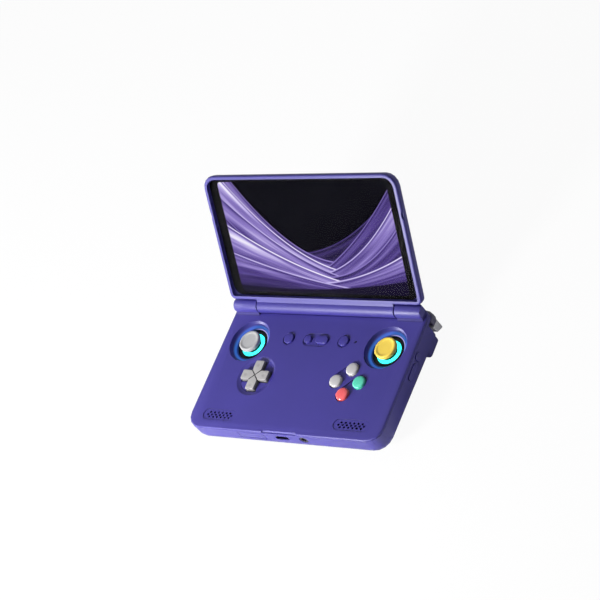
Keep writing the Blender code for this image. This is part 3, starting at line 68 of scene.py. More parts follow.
def ranged(tree, value, span=(0.0, 1.0), to=(0.0, 1.0), eased=False, held=True):
    """Takes a value from one span to another, held inside it, and eased at both ends if asked."""
    ends = {0: value, 1: span[0], 2: span[1], 3: to[0], 4: to[1]}
    kind = "SMOOTHSTEP" if eased else "LINEAR"
    return placed(tree, "MapRange", ends, interpolation_type=kind, clamp=held).outputs[0]


def mixed(tree, kind, share, first, second):
    """Goes from the first value to the second by a share. Each kind of value has sockets of its own."""
    taken, given = {"FLOAT": (2, 0), "VECTOR": (4, 1), "RGBA": (6, 2)}[kind]
    return placed(tree, "Mix", {0: share, taken: first, taken + 1: second}, data_type=kind).outputs[given]


def seen_rays(tree):
    """Two masks: what the camera sees, and what is seen mirrored in the object or through its glass."""
    rays = placed(tree, "LightPath")
    mirrored = worked(tree, "MAXIMUM", rays.outputs["Is Glossy Ray"], rays.outputs["Is Transmission Ray"])
    return rays.outputs["Is Camera Ray"], mirrored


scene = bpy.context.scene
scene.view_settings.view_transform = "Standard"
world = bpy.data.worlds.new("studio_room")
scene.world = world
world.use_nodes = True
tree = world.node_tree
tree.nodes.clear()
camera_rays, mirrored_rays = seen_rays(tree)
height = placed(tree, "SeparateXYZ", {0: placed(tree, "TexCoord").outputs["Generated"]})
wall_light = ranged(tree, height.outputs["Z"], (0.08, 0.50), (0.95, 0.22), eased=True)
seen_light = mixed(tree, "FLOAT", camera_rays, wall_light, 1.0)
seen_share = worked(tree, "MAXIMUM", camera_rays, mirrored_rays)
room_fill = placed(tree, "Background", {"Color": (0.94, 0.95, 1.0, 1.0), "Strength": 0.255})
room_white = placed(tree, "Background", {"Color": (1.0, 1.0, 1.0, 1.0), "Strength": seen_light})
room_mix = placed(tree, "MixShader", {0: seen_share, 1: room_fill.outputs[0], 2: room_white.outputs[0]})
placed(tree, "OutputWorld", {"Surface": room_mix.outputs[0]})

table_half = 3.0
table_mesh = bpy.data.meshes.new("table_top")
corners = [(x * table_half, y * table_half, 0) for x, y in ((-1, -1), (1, -1), (1, 1), (-1, 1))]
table_mesh.from_pydata(corners, [], [(0, 1, 2, 3)])
table_top = bpy.data.objects.new("table_top", table_mesh)
scene.collection.objects.link(table_top)
pale_table = bpy.data.materials.new("pale_table")
pale_table.use_nodes = True
tree = pale_table.node_tree
tree.nodes.clear()
matt = placed(tree, "BsdfDiffuse", {"Color": (0.86, 0.86, 0.87, 1.0)})
white = placed(tree, "Emission", {"Color": (1.0, 1.0, 1.0, 1.0), "Strength": 1.0})
white_when_seen = 0.94
white_when_mirrored = 0.15
camera_rays, mirrored_rays = seen_rays(tree)
mirrored_share = worked(tree, "MULTIPLY", mirrored_rays, white_when_mirrored)
share = worked(tree, "MULTIPLY_ADD", camera_rays, white_when_seen, mirrored_share)
table_mix = placed(tree, "MixShader", {0: share, 1: matt.outputs[0], 2: white.outputs[0]})
placed(tree, "OutputMaterial", {"Surface": table_mix.outputs[0]})
table_mesh.materials.append(pale_table)


def soft_lamp(name, place, aim, size, watts, colour):
    """A square area lamp at a place, turned to a point."""
    lamp = bpy.data.lights.new(name, "AREA")
    lamp.size = size
    lamp.energy = watts
    lamp.color = colour
    holder = bpy.data.objects.new(name, lamp)
    scene.collection.objects.link(holder)
    holder.location = place
    holder.rotation_mode = "QUATERNION"
    holder.rotation_quaternion = (Vector(aim) - Vector(place)).to_track_quat("-Z", "Y")


console_middle = (0.0, 0.0, 0.045)
soft_lamp("front_left_lamp", (-0.17, -0.42, 0.22), console_middle, 0.12, 4.20, (1.0, 0.99, 0.98))
soft_lamp("left_lamp", (-0.60, -0.14, 0.18), console_middle, 0.24, 1.4, (1.0, 1.0, 1.0))
soft_lamp("high_lamp", (-0.25, 0.20, 1.00), console_middle, 0.70, 1.0, (0.97, 0.98, 1.0))

# Camera
# A long lens stands high at the front right of the console, which lies turned and tipped in the picture.
# Its place and its turn were solved from the outlines of the console.

camera_data = bpy.data.cameras.new("product_camera")
camera_data.sensor_width = 36.0
camera_data.lens = 122.12
camera_data.clip_start = 0.05
camera_data.clip_end = 20.0
camera = bpy.data.objects.new("product_camera", camera_data)
scene.collection.objects.link(camera)
across = Vector((0.78004, 0.36172, -0.51059))
upward = Vector((-0.02647, 0.83433, 0.55064))
backward = Vector((0.62517, -0.41600, 0.66038))
camera_turn = Matrix((across, upward, backward)).transposed()
camera_place = (0.70659, -0.46325, 0.79026)
camera.matrix_world = Matrix.Translation(camera_place) @ camera_turn.to_4x4()
scene.camera = camera

# Bottom shell
# One moulded tray of ABS and polycarbonate, with the ports' openings, the vents and two finger ridges.
# The mould is spark-eroded to a fine satin, and its corners get a little painted highlight.


def new_group(name, kind, inputs, outputs):
    """A node group with named sockets. They are floats unless they are named Normal, Place or Geometry."""
    group = bpy.data.node_groups.new(name, kind)
    kinds = {"Normal": "NodeSocketVector", "Place": "NodeSocketVector", "Geometry": "NodeSocketGeometry"}
    for names, way in ((inputs, "INPUT"), (outputs, "OUTPUT")):
        for socket in names:
            group.interface.new_socket(socket, in_out=way, socket_type=kinds.get(socket, "NodeSocketFloat"))
    return group, group.nodes.new("NodeGroupInput"), group.nodes.new("NodeGroupOutput")


smoothing, enter, leave = new_group("smooth_moulding", "GeometryNodeTree", ["Geometry", "Crease"],
                                    ["Geometry"])
strip = smoothing.nodes.new("GeometryNodeRemoveAttribute")
strip.inputs["Name"].default_value = "custom_normal"
weld = smoothing.nodes.new("GeometryNodeMergeByDistance")
weld.inputs["Distance"].default_value = 0.000001
faces = smoothing.nodes.new("GeometryNodeSetShadeSmooth")
faces.domain = "FACE"
faces.inputs["Shade Smooth"].default_value = True
angle = smoothing.nodes.new("GeometryNodeInputMeshEdgeAngle")
gentle = smoothing.nodes.new("FunctionNodeCompare")
gentle.data_type = "FLOAT"
gentle.operation = "LESS_THAN"
edges = smoothing.nodes.new("GeometryNodeSetShadeSmooth")
edges.domain = "EDGE"
for start, end in (
    (enter.outputs["Geometry"], strip.inputs["Geometry"]),
    (strip.outputs["Geometry"], weld.inputs["Geometry"]),
    (weld.outputs["Geometry"], faces.inputs["Geometry"]),
    (faces.outputs["Geometry"], edges.inputs["Geometry"]),
    (angle.outputs["Unsigned Angle"], gentle.inputs["A"]),
    (enter.outputs["Crease"], gentle.inputs["B"]),
    (gentle.outputs["Result"], edges.inputs["Shade Smooth"]),
    (edges.outputs["Geometry"], leave.inputs["Geometry"]),
):
    smoothing.links.new(start, end)


def dress(material, *names, crease=radians(34)):
    """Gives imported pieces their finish, and smooths the faces that meet gently."""
    for name in names:
        for slot in nodes[name].material_slots:
            slot.material = material
        step = nodes[name].modifiers.new("smooth_moulding", "NODES")
        step.node_group = smoothing
        step[smoothing.interface.items_tree["Crease"].identifier] = crease


def own_place(tree):
    """The place of a point on its own piece."""
    return placed(tree, "TexCoord").outputs["Object"]


grain_group, enter, leave = new_group("moulded_grain", "ShaderNodeTree", ["Grain Scale", "Cloud Scale"],
                                      ["Grain", "Cloud"])
where = own_place(grain_group)
fine = placed(grain_group, "TexNoise", {"Vector": where, "Scale": enter.outputs[0], "Detail": 2.0})
slow = placed(grain_group, "TexNoise", {"Vector": where, "Scale": enter.outputs[1], "Detail": 3.0})
grain_group.links.new(fine.outputs["Fac"], leave.inputs["Grain"])
grain_group.links.new(slow.outputs["Fac"], leave.inputs["Cloud"])

# The rounded normal for edges, and a mask of where a moulding's edges get a painted highlight.
edge_group, enter, leave = new_group("rounded_edge_sheen", "ShaderNodeTree", ["Width"], ["Edge", "Normal"])
rounded_over = placed(edge_group, "Bevel", {"Radius": enter.outputs["Width"]}, samples=6)
true_face = placed(edge_group, "NewGeometry")
lean = placed(edge_group, "VectorMath", {0: rounded_over.outputs[0], 1: true_face.outputs["Normal"]},
              operation="DOT_PRODUCT")
spread = ranged(edge_group, lean.outputs["Value"], (1.0, 0.80))
edge_group.links.new(spread, leave.inputs["Edge"])
edge_group.links.new(rounded_over.outputs[0], leave.inputs["Normal"])


def scaled(tree, colour, share):
    """A colour or a direction made stronger or weaker by a share."""
    return placed(tree, "VectorMath", {0: colour, "Scale": share}, operation="SCALE").outputs[0]


def new_finish(name):
    """A new material with its node tree and its surface."""
    material = bpy.data.materials.new(name)
    material.use_nodes = True
    return material, material.node_tree, material.node_tree.nodes["Principled BSDF"]


def moulding(name, colour, roughness=0.47, shade_spread=0.05, rough_spread=0.05, grain_scale=5200.0,
             cloud_scale=38.0, grain_depth=0.000010, edge_width=0.0003, edge_sheen=0.20, coat=0.0):
    """A moulded plastic: grain in its relief, slow unevenness in colour and gloss, and edges with a painted
    highlight.
    """
    material, tree, skin = new_finish(name)
    skin.inputs["IOR"].default_value = 1.56
    grain = placed(tree, "Group", node_tree=grain_group)
    grain.inputs["Grain Scale"].default_value = grain_scale
    grain.inputs["Cloud Scale"].default_value = cloud_scale
    edge_round = placed(tree, "Group", node_tree=edge_group)
    edge_round.inputs["Width"].default_value = edge_width
    shade = ranged(tree, grain.outputs["Cloud"], (0.3, 0.7), (1 - shade_spread, 1 + shade_spread))
    toned = scaled(tree, colour, shade)
    # A painted highlight: the edges are painted lighter than the face.
    sheen_share = worked(tree, "MULTIPLY", edge_round.outputs["Edge"], edge_sheen)
    sheen_colour = tuple(min(1.0, 1.4 * c + 0.04) for c in colour) + (1.0,)
    sheened_colour = mixed(tree, "RGBA", sheen_share, toned, sheen_colour)
    tree.links.new(sheened_colour, skin.inputs["Base Color"])
    gloss = ranged(tree, grain.outputs["Grain"], to=(roughness - rough_spread, roughness + rough_spread))
    tree.links.new(gloss, skin.inputs["Roughness"])
    relief = placed(tree, "Bump", {"Distance": grain_depth, "Height": grain.outputs["Grain"],
                                   "Normal": edge_round.outputs["Normal"]})
    tree.links.new(relief.outputs[0], skin.inputs["Normal"])
    if coat:
        skin.inputs["Coat Weight"].default_value = coat
        skin.inputs["Coat Roughness"].default_value = 0.10
    return material


indigo = (0.039, 0.030, 0.240)
satin_indigo = moulding("satin_indigo", indigo)
dress(satin_indigo, "bottom_shell")

# Battery
# A flat lithium pouch behind the front ports, in a crinkled aluminium foil laminate.
# It is stuck to the floor of the tray with tape.

foil_pouch, tree, skin = new_finish("foil_pouch")
skin.inputs["Metallic"].default_value = 0.8
crinkle = placed(tree, "TexNoise", {"Vector": own_place(tree), "Scale": 260.0, "Detail": 4.0})
foil_shade = ranged(tree, crinkle.outputs["Fac"], to=(0.44, 0.60))
foil_gloss = ranged(tree, crinkle.outputs["Fac"], to=(0.46, 0.28))
foil_relief = placed(tree, "Bump", {"Distance": 0.00005, "Height": crinkle.outputs["Fac"]})
tree.links.new(foil_shade, skin.inputs["Base Color"])
tree.links.new(foil_gloss, skin.inputs["Roughness"])
tree.links.new(foil_relief.outputs[0], skin.inputs["Normal"])
dress(foil_pouch, "battery")

# Mainboard
# A fibreglass board with copper tracks under a dark solder mask, and bare gold contact pads.
# It lies on the bosses of the tray, and the button pads lie on it.

solder_mask, tree, skin = new_finish("solder_mask")
board_place = own_place(tree)
tracks = placed(tree, "TexBrick", {
    "Vector": board_place, "Color1": (0.006, 0.045, 0.030, 1.0), "Color2": (0.010, 0.060, 0.040, 1.0),
    "Mortar": (0.022, 0.105, 0.062, 1.0), "Scale": 260.0, "Mortar Size": 0.05, "Brick Width": 1.6,
})
dots = placed(tree, "TexVoronoi", {"Vector": board_place, "Scale": 420.0})
pad_mask = ranged(tree, dots.outputs["Distance"], (0.22, 0.18))
board_colour = mixed(tree, "RGBA", pad_mask, tracks.outputs["Color"], (0.80, 0.55, 0.22, 1.0))
board_gloss = ranged(tree, pad_mask, to=(0.45, 0.25))
board_relief = placed(tree, "Bump", {"Distance": 0.00003, "Height": tracks.outputs["Fac"]})
tree.links.new(board_colour, skin.inputs["Base Color"])
tree.links.new(board_gloss, skin.inputs["Roughness"])
tree.links.new(pad_mask, skin.inputs["Metallic"])
tree.links.new(board_relief.outputs[0], skin.inputs["Normal"])
dress(solder_mask, "mainboard")

# Button pads
# Two sheets of grey silicone with carbon pills, pressed by the flanges of the buttons and the d-pad.
# They are moulded flat and lie loose on the mainboard.

silicone = moulding("silicone_sheet", (0.46, 0.47, 0.48), roughness=0.60, grain_scale=2600.0,
                    edge_sheen=0.05)
skin = silicone.node_tree.nodes["Principled BSDF"]
skin.inputs["Subsurface Weight"].default_value = 0.15
skin.inputs["Subsurface Scale"].default_value = 0.001
dress(silicone, "button_pad", "dpad_pad")

# Fan
# A small blower in a frame of glass-filled nylon, with nine blades on a steel pin. It draws air
# through the slots in the tray and sends it through the fins behind it.

filled_nylon = moulding("filled_nylon", (0.016, 0.016, 0.018), roughness=0.52, shade_spread=0.20,
                        grain_scale=1800.0, cloud_scale=420.0, grain_depth=0.000020, edge_sheen=0.10)
dress(filled_nylon, "fan_housing", "fan_rotor")

# Heat sink
# Copper fins brazed to a copper plate behind the fan, wiped with a brush along their length.
# The metal has darkened a little where it is handled.


def brushed_metal(name, colour, roughness, stretch):
    """Bare metal with fine lines along one way, and slow dull patches."""
    material, tree, skin = new_finish(name)
    skin.inputs["Metallic"].default_value = 1.0
    drawn_out = placed(tree, "Mapping", {0: own_place(tree), "Scale": stretch})
    lines = placed(tree, "TexNoise", {"Vector": drawn_out.outputs[0], "Scale": 900.0, "Detail": 2.0})
    patches = placed(tree, "TexNoise", {"Vector": own_place(tree), "Scale": 90.0})
    tone = ranged(tree, patches.outputs["Fac"], to=(0.82, 1.08))
    toned = scaled(tree, colour, tone)
    gloss = ranged(tree, lines.outputs["Fac"], to=(roughness - 0.08, roughness + 0.10))
    relief = placed(tree, "Bump", {"Distance": 0.000006, "Height": lines.outputs["Fac"]})
    tree.links.new(toned, skin.inputs["Base Color"])
    tree.links.new(gloss, skin.inputs["Roughness"])
    tree.links.new(relief.outputs[0], skin.inputs["Normal"])
    return material


dress(brushed_metal("brushed_copper", (0.78, 0.38, 0.24), 0.34, (0.05, 1.0, 1.0)), "heat_sink")

# Speakers
# Two long speakers face the grilles: a black basket with a doped paper cone and a cloth edge.
# Each is clipped into the tray under its grille.

cone_cloth = moulding("cone_cloth", (0.020, 0.019, 0.020), roughness=0.75, shade_spread=0.15,
                      grain_scale=1500.0, grain_depth=0.000030, edge_sheen=0.08)
dress(cone_cloth, "left_speaker", "right_speaker")

# Stick modules
# Each thumb stick turns in a black nylon cup: a steel ring rocks on two pins, and the stick rocks in it.
# The ring is turned from bar, and the stick's ball and stem are acetal.

dress(filled_nylon, "left_stick_housing", "right_stick_housing")
bright_steel = brushed_metal("bright_steel", (0.62, 0.62, 0.63), 0.28, (1.0, 1.0, 0.05))
dress(bright_steel, "left_gimbal", "right_gimbal")
acetal = moulding("black_acetal", (0.022, 0.022, 0.025), roughness=0.30, grain_depth=0.000003,
                  edge_sheen=0.12)
dress(acetal, "left_stick_shaft", "right_stick_shaft")

# Light rings
# A milky ring lies on each cup round the stick, lit cyan from below by eight small lamps.
# It is moulded acrylic with a softly rounded top, and a black nylon holder lies round it.

cap_middles = {side: sum(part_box(side + "_stick_cap"), Vector()) / 2 for side in ("left", "right")}
deck_level = 0.0178


def make_piece(form, name, place, material, sharp_from=None):
    """Makes a piece of a finished form, and smooths it but for the edges sharper than an angle."""
    mesh = bpy.data.meshes.new(name)
    form.to_mesh(mesh)
    form.free()
    if sharp_from:
        mesh.shade_smooth()
        mesh.set_sharp_from_angle(angle=sharp_from)
    mesh.materials.append(material)
    piece = bpy.data.objects.new(name, mesh)
    piece.location = place
    scene.collection.objects.link(piece)
    return piece


def turned(name, rows, steps, place, material, ribs=0, rib_depth=0.0, rib_radius=0.0):
    """A piece turned about an upright axis from rows of radius and height, with fine ribs round its side."""
    form = bmesh.new()
    spots = [form.verts.new((radius, 0, height)) for radius, height in rows]
    lines = [form.edges.new(pair) for pair in zip(spots, spots[1:])]
    bmesh.ops.spin(form, geom=spots + lines, cent=(0, 0, 0), axis=(0, 0, 1), angle=2 * pi, steps=steps,
                   use_merge=True)
    bmesh.ops.remove_doubles(form, verts=form.verts, dist=0.000002)
    for vert in form.verts:
        radius = Vector(vert.co[:2]).length
        if ribs and radius > rib_radius:
            wave = cos(ribs * Vector((1, 0)).angle_signed(vert.co.xy))
            vert.co.xy *= 1 - rib_depth * (1 - wave) / 2 / radius
    bmesh.ops.recalc_face_normals(form, faces=form.faces)
    return make_piece(form, name, place, material, radians(50))


ring_rows = [(0.0052, -0.0049), (0.0052, -0.0045), (0.0053, -0.00438), (0.0056, -0.00432),
             (0.0064, -0.00428), (0.0071, -0.00432), (0.0074, -0.00438), (0.0075, -0.0045),
             (0.0075, -0.0049), (0.0052, -0.0049)]
holder_rows = [(0.0076, -0.00495), (0.0076, -0.00435), (0.0078, -0.00425), (0.0084, -0.00425),
               (0.0086, -0.00435), (0.0086, -0.00495), (0.0076, -0.00495)]
lamps_under_ring = 8.0
lit_acrylic, tree, skin = new_finish("lit_acrylic")
skin.inputs["Base Color"].default_value = (0.10, 0.60, 0.58, 1.0)
skin.inputs["Emission Strength"].default_value = 2.6
ring_place = own_place(tree)
ring_axes = placed(tree, "SeparateXYZ", {0: ring_place})
bearing = worked(tree, "ARCTAN2", ring_axes.outputs["Y"], ring_axes.outputs["X"])
lobes = worked(tree, "MULTIPLY", bearing, lamps_under_ring)
over_lamp = worked(tree, "COSINE", lobes)
glow = ranged(tree, over_lamp, (-1.0, 1.0), (0.90, 1.0))
milk = scaled(tree, (0.025, 1.0, 0.90), glow)
haze = placed(tree, "TexNoise", {"Vector": ring_place, "Scale": 2400.0})
frost = ranged(tree, haze.outputs["Fac"], to=(0.32, 0.48))
tree.links.new(milk, skin.inputs["Emission Color"])
tree.links.new(frost, skin.inputs["Roughness"])
for side in ("left", "right"):
    spot = (cap_middles[side].x, cap_middles[side].y, deck_level)
    light_ring = turned(side + "_ring_light", ring_rows, 72, spot, lit_acrylic)
    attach(light_ring, "case")
    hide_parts(side + "_light_ring")
    ring_holder = turned(side + "_ring_holder", holder_rows, 72, spot, filled_nylon)
    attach(ring_holder, "case")

# Front ports
# The charging socket is drawn from one strip of steel, and the headphone jack is a black moulded barrel.
# Behind the small door lies a stamped steel card reader.

blued_steel = brushed_metal("blued_steel", (0.055, 0.050, 0.110), 0.38, (0.08, 1.0, 1.0))
dress(blued_steel, "usb_socket", "card_reader")
jack_black = moulding("jack_black", (0.018, 0.016, 0.030), roughness=0.40, edge_sheen=0.04)
dress(jack_black, "headphone_jack")
dress(satin_indigo, "card_door")

# Side buttons
# The power button and the volume rocker are caps of the shell's own plastic, caught behind the side wall.
# They come from a smoother mould than the shell, so that they shine a little more.

indigo_key = moulding("satin_indigo_key", (0.042, 0.033, 0.258), roughness=0.38)
dress(indigo_key, "power_button", "volume_rocker")

# D-pad
# A light grey cross moulded in one piece, with a groove between its arms and a dimple in each arm.
# It rocks on a steel ball over its silicone pad, in a shallow dish of the deck.
# The groove, the dimples and the steep sides are painted darker, as shade.

dress(bright_steel, "dpad_ball")
dpad_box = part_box("dpad")
dpad_middle = (dpad_box[0] + dpad_box[1]) / 2
arm_half = 0.0032
arm_reach = 0.0095
dimple_place = 0.68 * arm_reach
dimple_slope = (0.00050, 0.00150)
dimple_depth = 0.00012
groove_shade_span = (0.00034, 0.00062)


def join_rings(form, rings, capped=True):
    """Joins rings of points by bands of faces. The ends are capped, or the last ring joins the first."""
    for low, high in zip(rings, rings[1:] if capped else rings[1:] + rings[:1]):
        for i in range(len(low)):
            j = (i + 1) % len(low)
            form.faces.new((low[i], low[j], high[j], high[i]))
    if capped:
        form.faces.new(rings[-1])
        form.faces.new(list(reversed(rings[0])))


def inset_corners(points, inset, corner, steps):
    """A convex outline drawn in by a distance, with every corner rounded by its own radius."""
    spots = []
    count = len(points)
    for i, (x, y) in enumerate(points):
        before = (Vector(points[i]) - Vector(points[i - 1])).normalized()
        after = (Vector(points[(i + 1) % count]) - Vector(points[i])).normalized()
        half_turn = before.angle(after) / 2
        inward = (after - before).normalized()
        radius = max(corner[i] - inset, 0.00005)
        centre = Vector((x, y)) + inward * ((inset + radius) / cos(half_turn))
        first = Vector((before.y, -before.x))
        for k in range(steps + 1):
            spots.append(centre + Matrix.Rotation(2 * half_turn * k / steps, 2) @ first * radius)
    return spots


def make_dpad():
    """Four arms with rounded edges, with the groove between them, on the flange and the stem below."""
    arm = [(0, 0), (arm_half, -arm_half), (arm_reach, -arm_half), (arm_reach, arm_half),
           (arm_half, arm_half)]
    corner = [0.00005, 0.0001, 0.0010, 0.0010, 0.0001]
    top = 0.0015
    foot = -0.0021
    rounding = 0.00030
    groove = 0.00012
    overlap = -0.00001
    hollow = 0.00022
    levels = [(overlap, foot), (overlap, top - 0.0009), (groove, top - 0.0008), (groove, top - rounding)]
    levels += [(groove + rounding * (1 - cos(a)), top - rounding * (1 - sin(a)))
               for a in (radians(d) for d in (18, 36, 54, 72, 90))]
    form = bmesh.new()
    for quarter in range(4):
        turn = Matrix.Rotation(quarter * pi / 2, 3, "Z")
        rings = []
        for inset, height in levels:
            spots = inset_corners(arm, inset, corner, 5)
            rings.append([form.verts.new(turn @ Vector((x, y, height))) for x, y in spots])
        join_rings(form, rings)
    for vert in form.verts:
        if vert.co.z > 0:
            vert.co.z -= hollow * max(0.0, 1 - Vector(vert.co[:2]).length / arm_reach) * vert.co.z / top
    for radius, thickness, middle in ((0.0104, 0.0006, -0.0032), (0.0030, 0.0010, -0.0025)):
        bmesh.ops.create_cone(form, cap_ends=True, segments=48, radius1=radius, radius2=radius,
                              depth=thickness, matrix=Matrix.Translation((0, 0, middle)))
    return form


pale_grey = (0.39, 0.38, 0.38)
dpad_grey = moulding("dpad_grey", pale_grey, roughness=0.40, edge_sheen=0.10)
tree = dpad_grey.node_tree
skin = tree.nodes["Principled BSDF"]
arm_place = placed(tree, "VectorMath", {0: own_place(tree)}, operation="ABSOLUTE")
flat_place = placed(tree, "VectorMath", {0: arm_place.outputs[0], 1: (1.0, 1.0, 0.0)}, operation="MULTIPLY")
first_dimple = placed(tree, "VectorMath", {0: flat_place.outputs[0], 1: (dimple_place, 0, 0)},
                      operation="DISTANCE")
second_dimple = placed(tree, "VectorMath", {0: flat_place.outputs[0], 1: (0, dimple_place, 0)},
                       operation="DISTANCE")
nearest = worked(tree, "MINIMUM", first_dimple.outputs["Value"], second_dimple.outputs["Value"])
dish = ranged(tree, nearest, dimple_slope, eased=True)
grain_relief = skin.inputs["Normal"].links[0].from_node
dimple_relief = placed(tree, "Bump", {"Distance": dimple_depth, "Height": dish,
                                      "Normal": grain_relief.outputs[0]})
tree.links.new(dimple_relief.outputs[0], skin.inputs["Normal"])
grey_shade = skin.inputs["Base Color"].links[0].from_socket
# Painted shade: the dimples are darkened in the colour.
dimple_shade = ranged(tree, dish, to=(0.86, 1.0))
# Painted shade: the groove between the arms is darkened in the colour.
arm_axes = placed(tree, "SeparateXYZ", {0: arm_place.outputs[0]})
across_corner = worked(tree, "SUBTRACT", arm_axes.outputs["X"], arm_axes.outputs["Y"])
from_groove = worked(tree, "ABSOLUTE", across_corner)
groove_shade = ranged(tree, from_groove, groove_shade_span, (0.22, 1.0), eased=True)
# Painted shade: the steep sides are darkened in the colour.
upright_face = placed(tree, "SeparateXYZ", {0: placed(tree, "NewGeometry").outputs["Normal"]})
side_shade = ranged(tree, upright_face.outputs["Z"], (0.10, 0.70), (0.34, 1.0))
dimple_and_side_shade = worked(tree, "MULTIPLY", dimple_shade, side_shade)
arm_shade = worked(tree, "MULTIPLY", dimple_and_side_shade, groove_shade)
arm_colour = scaled(tree, grey_shade, arm_shade)
tree.links.new(arm_colour, skin.inputs["Base Color"])
dish_rows = [(0.01292, -0.0006), (0.01292, -0.00002), (0.01270, -0.00006), (0.01230, -0.00022),
             (0.01180, -0.00044), (0.01130, -0.00062), (0.01080, -0.00073), (0.01030, -0.00078),
             (0.01030, -0.00082), (0.01292, -0.00082), (0.01292, -0.0006)]
dpad_spot = (dpad_middle.x, dpad_middle.y, deck_level)
dpad_dish = turned("dpad_dish", dish_rows, 96, dpad_spot, satin_indigo)
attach(dpad_dish, "case")
dpad_cross = make_piece(make_dpad(), "dpad_cross", dpad_spot, dpad_grey, radians(40))
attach(dpad_cross, "dpad_plate")
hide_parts("dpad")

# Face buttons
# Four domed buttons in light grey, green and red, each moulded with a flange that keeps it under the deck.
# They are polished, and thumbs have dulled their tops a little.

flange_top = -0.0021
flange_foot = -0.0029


def domed_rows(radius, height, shoulder, flange, steps=14):
    """Rows of radius and height from the crown of a button down to the flange under the deck."""
    rows = []
    for k in range(steps + 1):
        share = k / steps
        rise = max(0.0, 1 - share ** 2.4) ** 0.62
        rows.append((radius * sin(pi / 2 * share) ** 0.9, shoulder + (height - shoulder) * rise))
    return rows + [(radius, flange_top), (flange, flange_top), (flange, flange_foot), (0, flange_foot)]


button_grey = (0.50, 0.49, 0.495)
button_green = (0.090, 0.64, 0.44)
button_red = (0.86, 0.120, 0.130)
button_rows = domed_rows(radius=0.0039, height=0.0015, shoulder=0.0002, flange=0.0046)
polished_keys = {
    "button_up": (moulding("polished_grey", button_grey, roughness=0.30, coat=0.25), "light_grey_plastic"),
    "button_right": (moulding("polished_green", button_green, roughness=0.28, coat=0.25), "green_button"),
    "button_down": (moulding("polished_red", button_red, roughness=0.28, coat=0.25), "red_button"),
}
polished_keys["button_left"] = polished_keys["button_up"]
for node, (material, finish) in polished_keys.items():
    low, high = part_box(node)
    spot = ((low.x + high.x) / 2, (low.y + high.y) / 2, deck_level)
    key = turned(node + "_dome", button_rows, 64, spot, material)
    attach(key, node + "_key")
    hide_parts(node)

# Menu buttons and status light
# Three round buttons and one long one in the shell's plastic stand just above their recesses.
# The status light beside them is a small smoked lens, unlit.

flange_rim = 0.0007
key_levels = [(-flange_rim, flange_foot), (-flange_rim, flange_top), (0.0, flange_top), (0.0, 0.00060),
              (0.00003, 0.00070), (0.00011, 0.00079), (0.00022, 0.00085), (0.00036, 0.00088)]


def make_menu_key(name, half_length):
    """A round or long key with a softly rounded edge, on the flange that keeps it under the deck."""
    low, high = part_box(name)
    radius = (high.y - low.y) / 2 - flange_rim
    form = bmesh.new()
    rings = []
    for inset, height in key_levels:
        ring = []
        for middle, start in ((half_length, -90), (-half_length, 90)):
            for k in range(25):
                a = radians(start + 7.5 * k)
                ring.append((middle + (radius - inset) * cos(a), (radius - inset) * sin(a), height))
        rings.append([form.verts.new(spot) for spot in ring])
    join_rings(form, rings)
    bmesh.ops.remove_doubles(form, verts=form.verts, dist=0.000002)
    bmesh.ops.recalc_face_normals(form, faces=form.faces)
    spot = ((low.x + high.x) / 2, (low.y + high.y) / 2, deck_level)
    key = make_piece(form, name + "_cap", spot, indigo_key, radians(50))
    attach(key, name + "_key")
    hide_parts(name)


for node, half_length in (("menu_button_left", 0.0), ("menu_button_small", 0.0),
                          ("menu_button_pill", 0.0018), ("menu_button_right", 0.0)):
    make_menu_key(node, half_length)
smoked_lens = moulding("smoked_lens", (0.020, 0.018, 0.060), roughness=0.18, coat=0.5,
                       grain_depth=0.000002)
dress(smoked_lens, "status_light")

# Top shell
# The deck is moulded in the satin plastic of the tray, in one piece with the bowls and the hinge humps.
# Four screws from below draw it down on the tray. Its creases, grille holes and hump feet get painted shade.
# The bowls catch the lamp on two soft lips; the rings' blue glow and the inner lip highlight are painted.

bowl_hole = 0.00995
bowl_rim = 0.0138
bowl_floor = 0.0037
wall_drop = 0.0036
wall_span = (0.0100, 0.0132)
under_deck = 0.00002
lip_turn = radians(27)
far_way = (0.60, 0.80, 0.0)
bowl_group, enter, leave = new_group("bowl_face", "ShaderNodeTree", ["Place", "Normal"],
                                     ["Mask", "Depth", "Far Side", "Normal"])
deck_axes = placed(bowl_group, "SeparateXYZ", {0: enter.outputs["Place"]})
aside = worked(bowl_group, "ABSOLUTE", deck_axes.outputs["X"])
way = worked(bowl_group, "SIGN", deck_axes.outputs["X"])
off_x = worked(bowl_group, "SUBTRACT", aside, cap_middles["right"].x)
out_x = worked(bowl_group, "MULTIPLY", off_x, way)
out_y = worked(bowl_group, "SUBTRACT", deck_axes.outputs["Y"], cap_middles["right"].y)
outward = placed(bowl_group, "CombineXYZ", {0: out_x, 1: out_y})
radius = placed(bowl_group, "VectorMath", {0: outward.outputs[0]}, operation="LENGTH")
ray = placed(bowl_group, "VectorMath", {0: outward.outputs[0]}, operation="NORMALIZE")
sunk = worked(bowl_group, "SUBTRACT", deck_level, deck_axes.outputs["Z"])
inside = worked(bowl_group, "LESS_THAN", radius.outputs["Value"], bowl_rim)
open_wall = worked(bowl_group, "GREATER_THAN", radius.outputs["Value"], bowl_hole)
shallow = worked(bowl_group, "LESS_THAN", sunk, bowl_floor)
below = worked(bowl_group, "GREATER_THAN", sunk, under_deck)
ringed = worked(bowl_group, "MULTIPLY", inside, open_wall)
dished = worked(bowl_group, "MULTIPLY", shallow, below)
bowl_mask = worked(bowl_group, "MULTIPLY", ringed, dished)
rise_share = worked(bowl_group, "DIVIDE", sunk, wall_drop)
reach_share = ranged(bowl_group, radius.outputs["Value"], wall_span)
sweep = worked(bowl_group, "ARCTAN2", rise_share, reach_share)
depth = worked(bowl_group, "DIVIDE", sweep, pi / 2)
tilt = placed(bowl_group, "FloatCurve", {"Value": depth})
curve = tilt.mapping.curves[0]
curve.points[0].location = (0.0, 0.50)
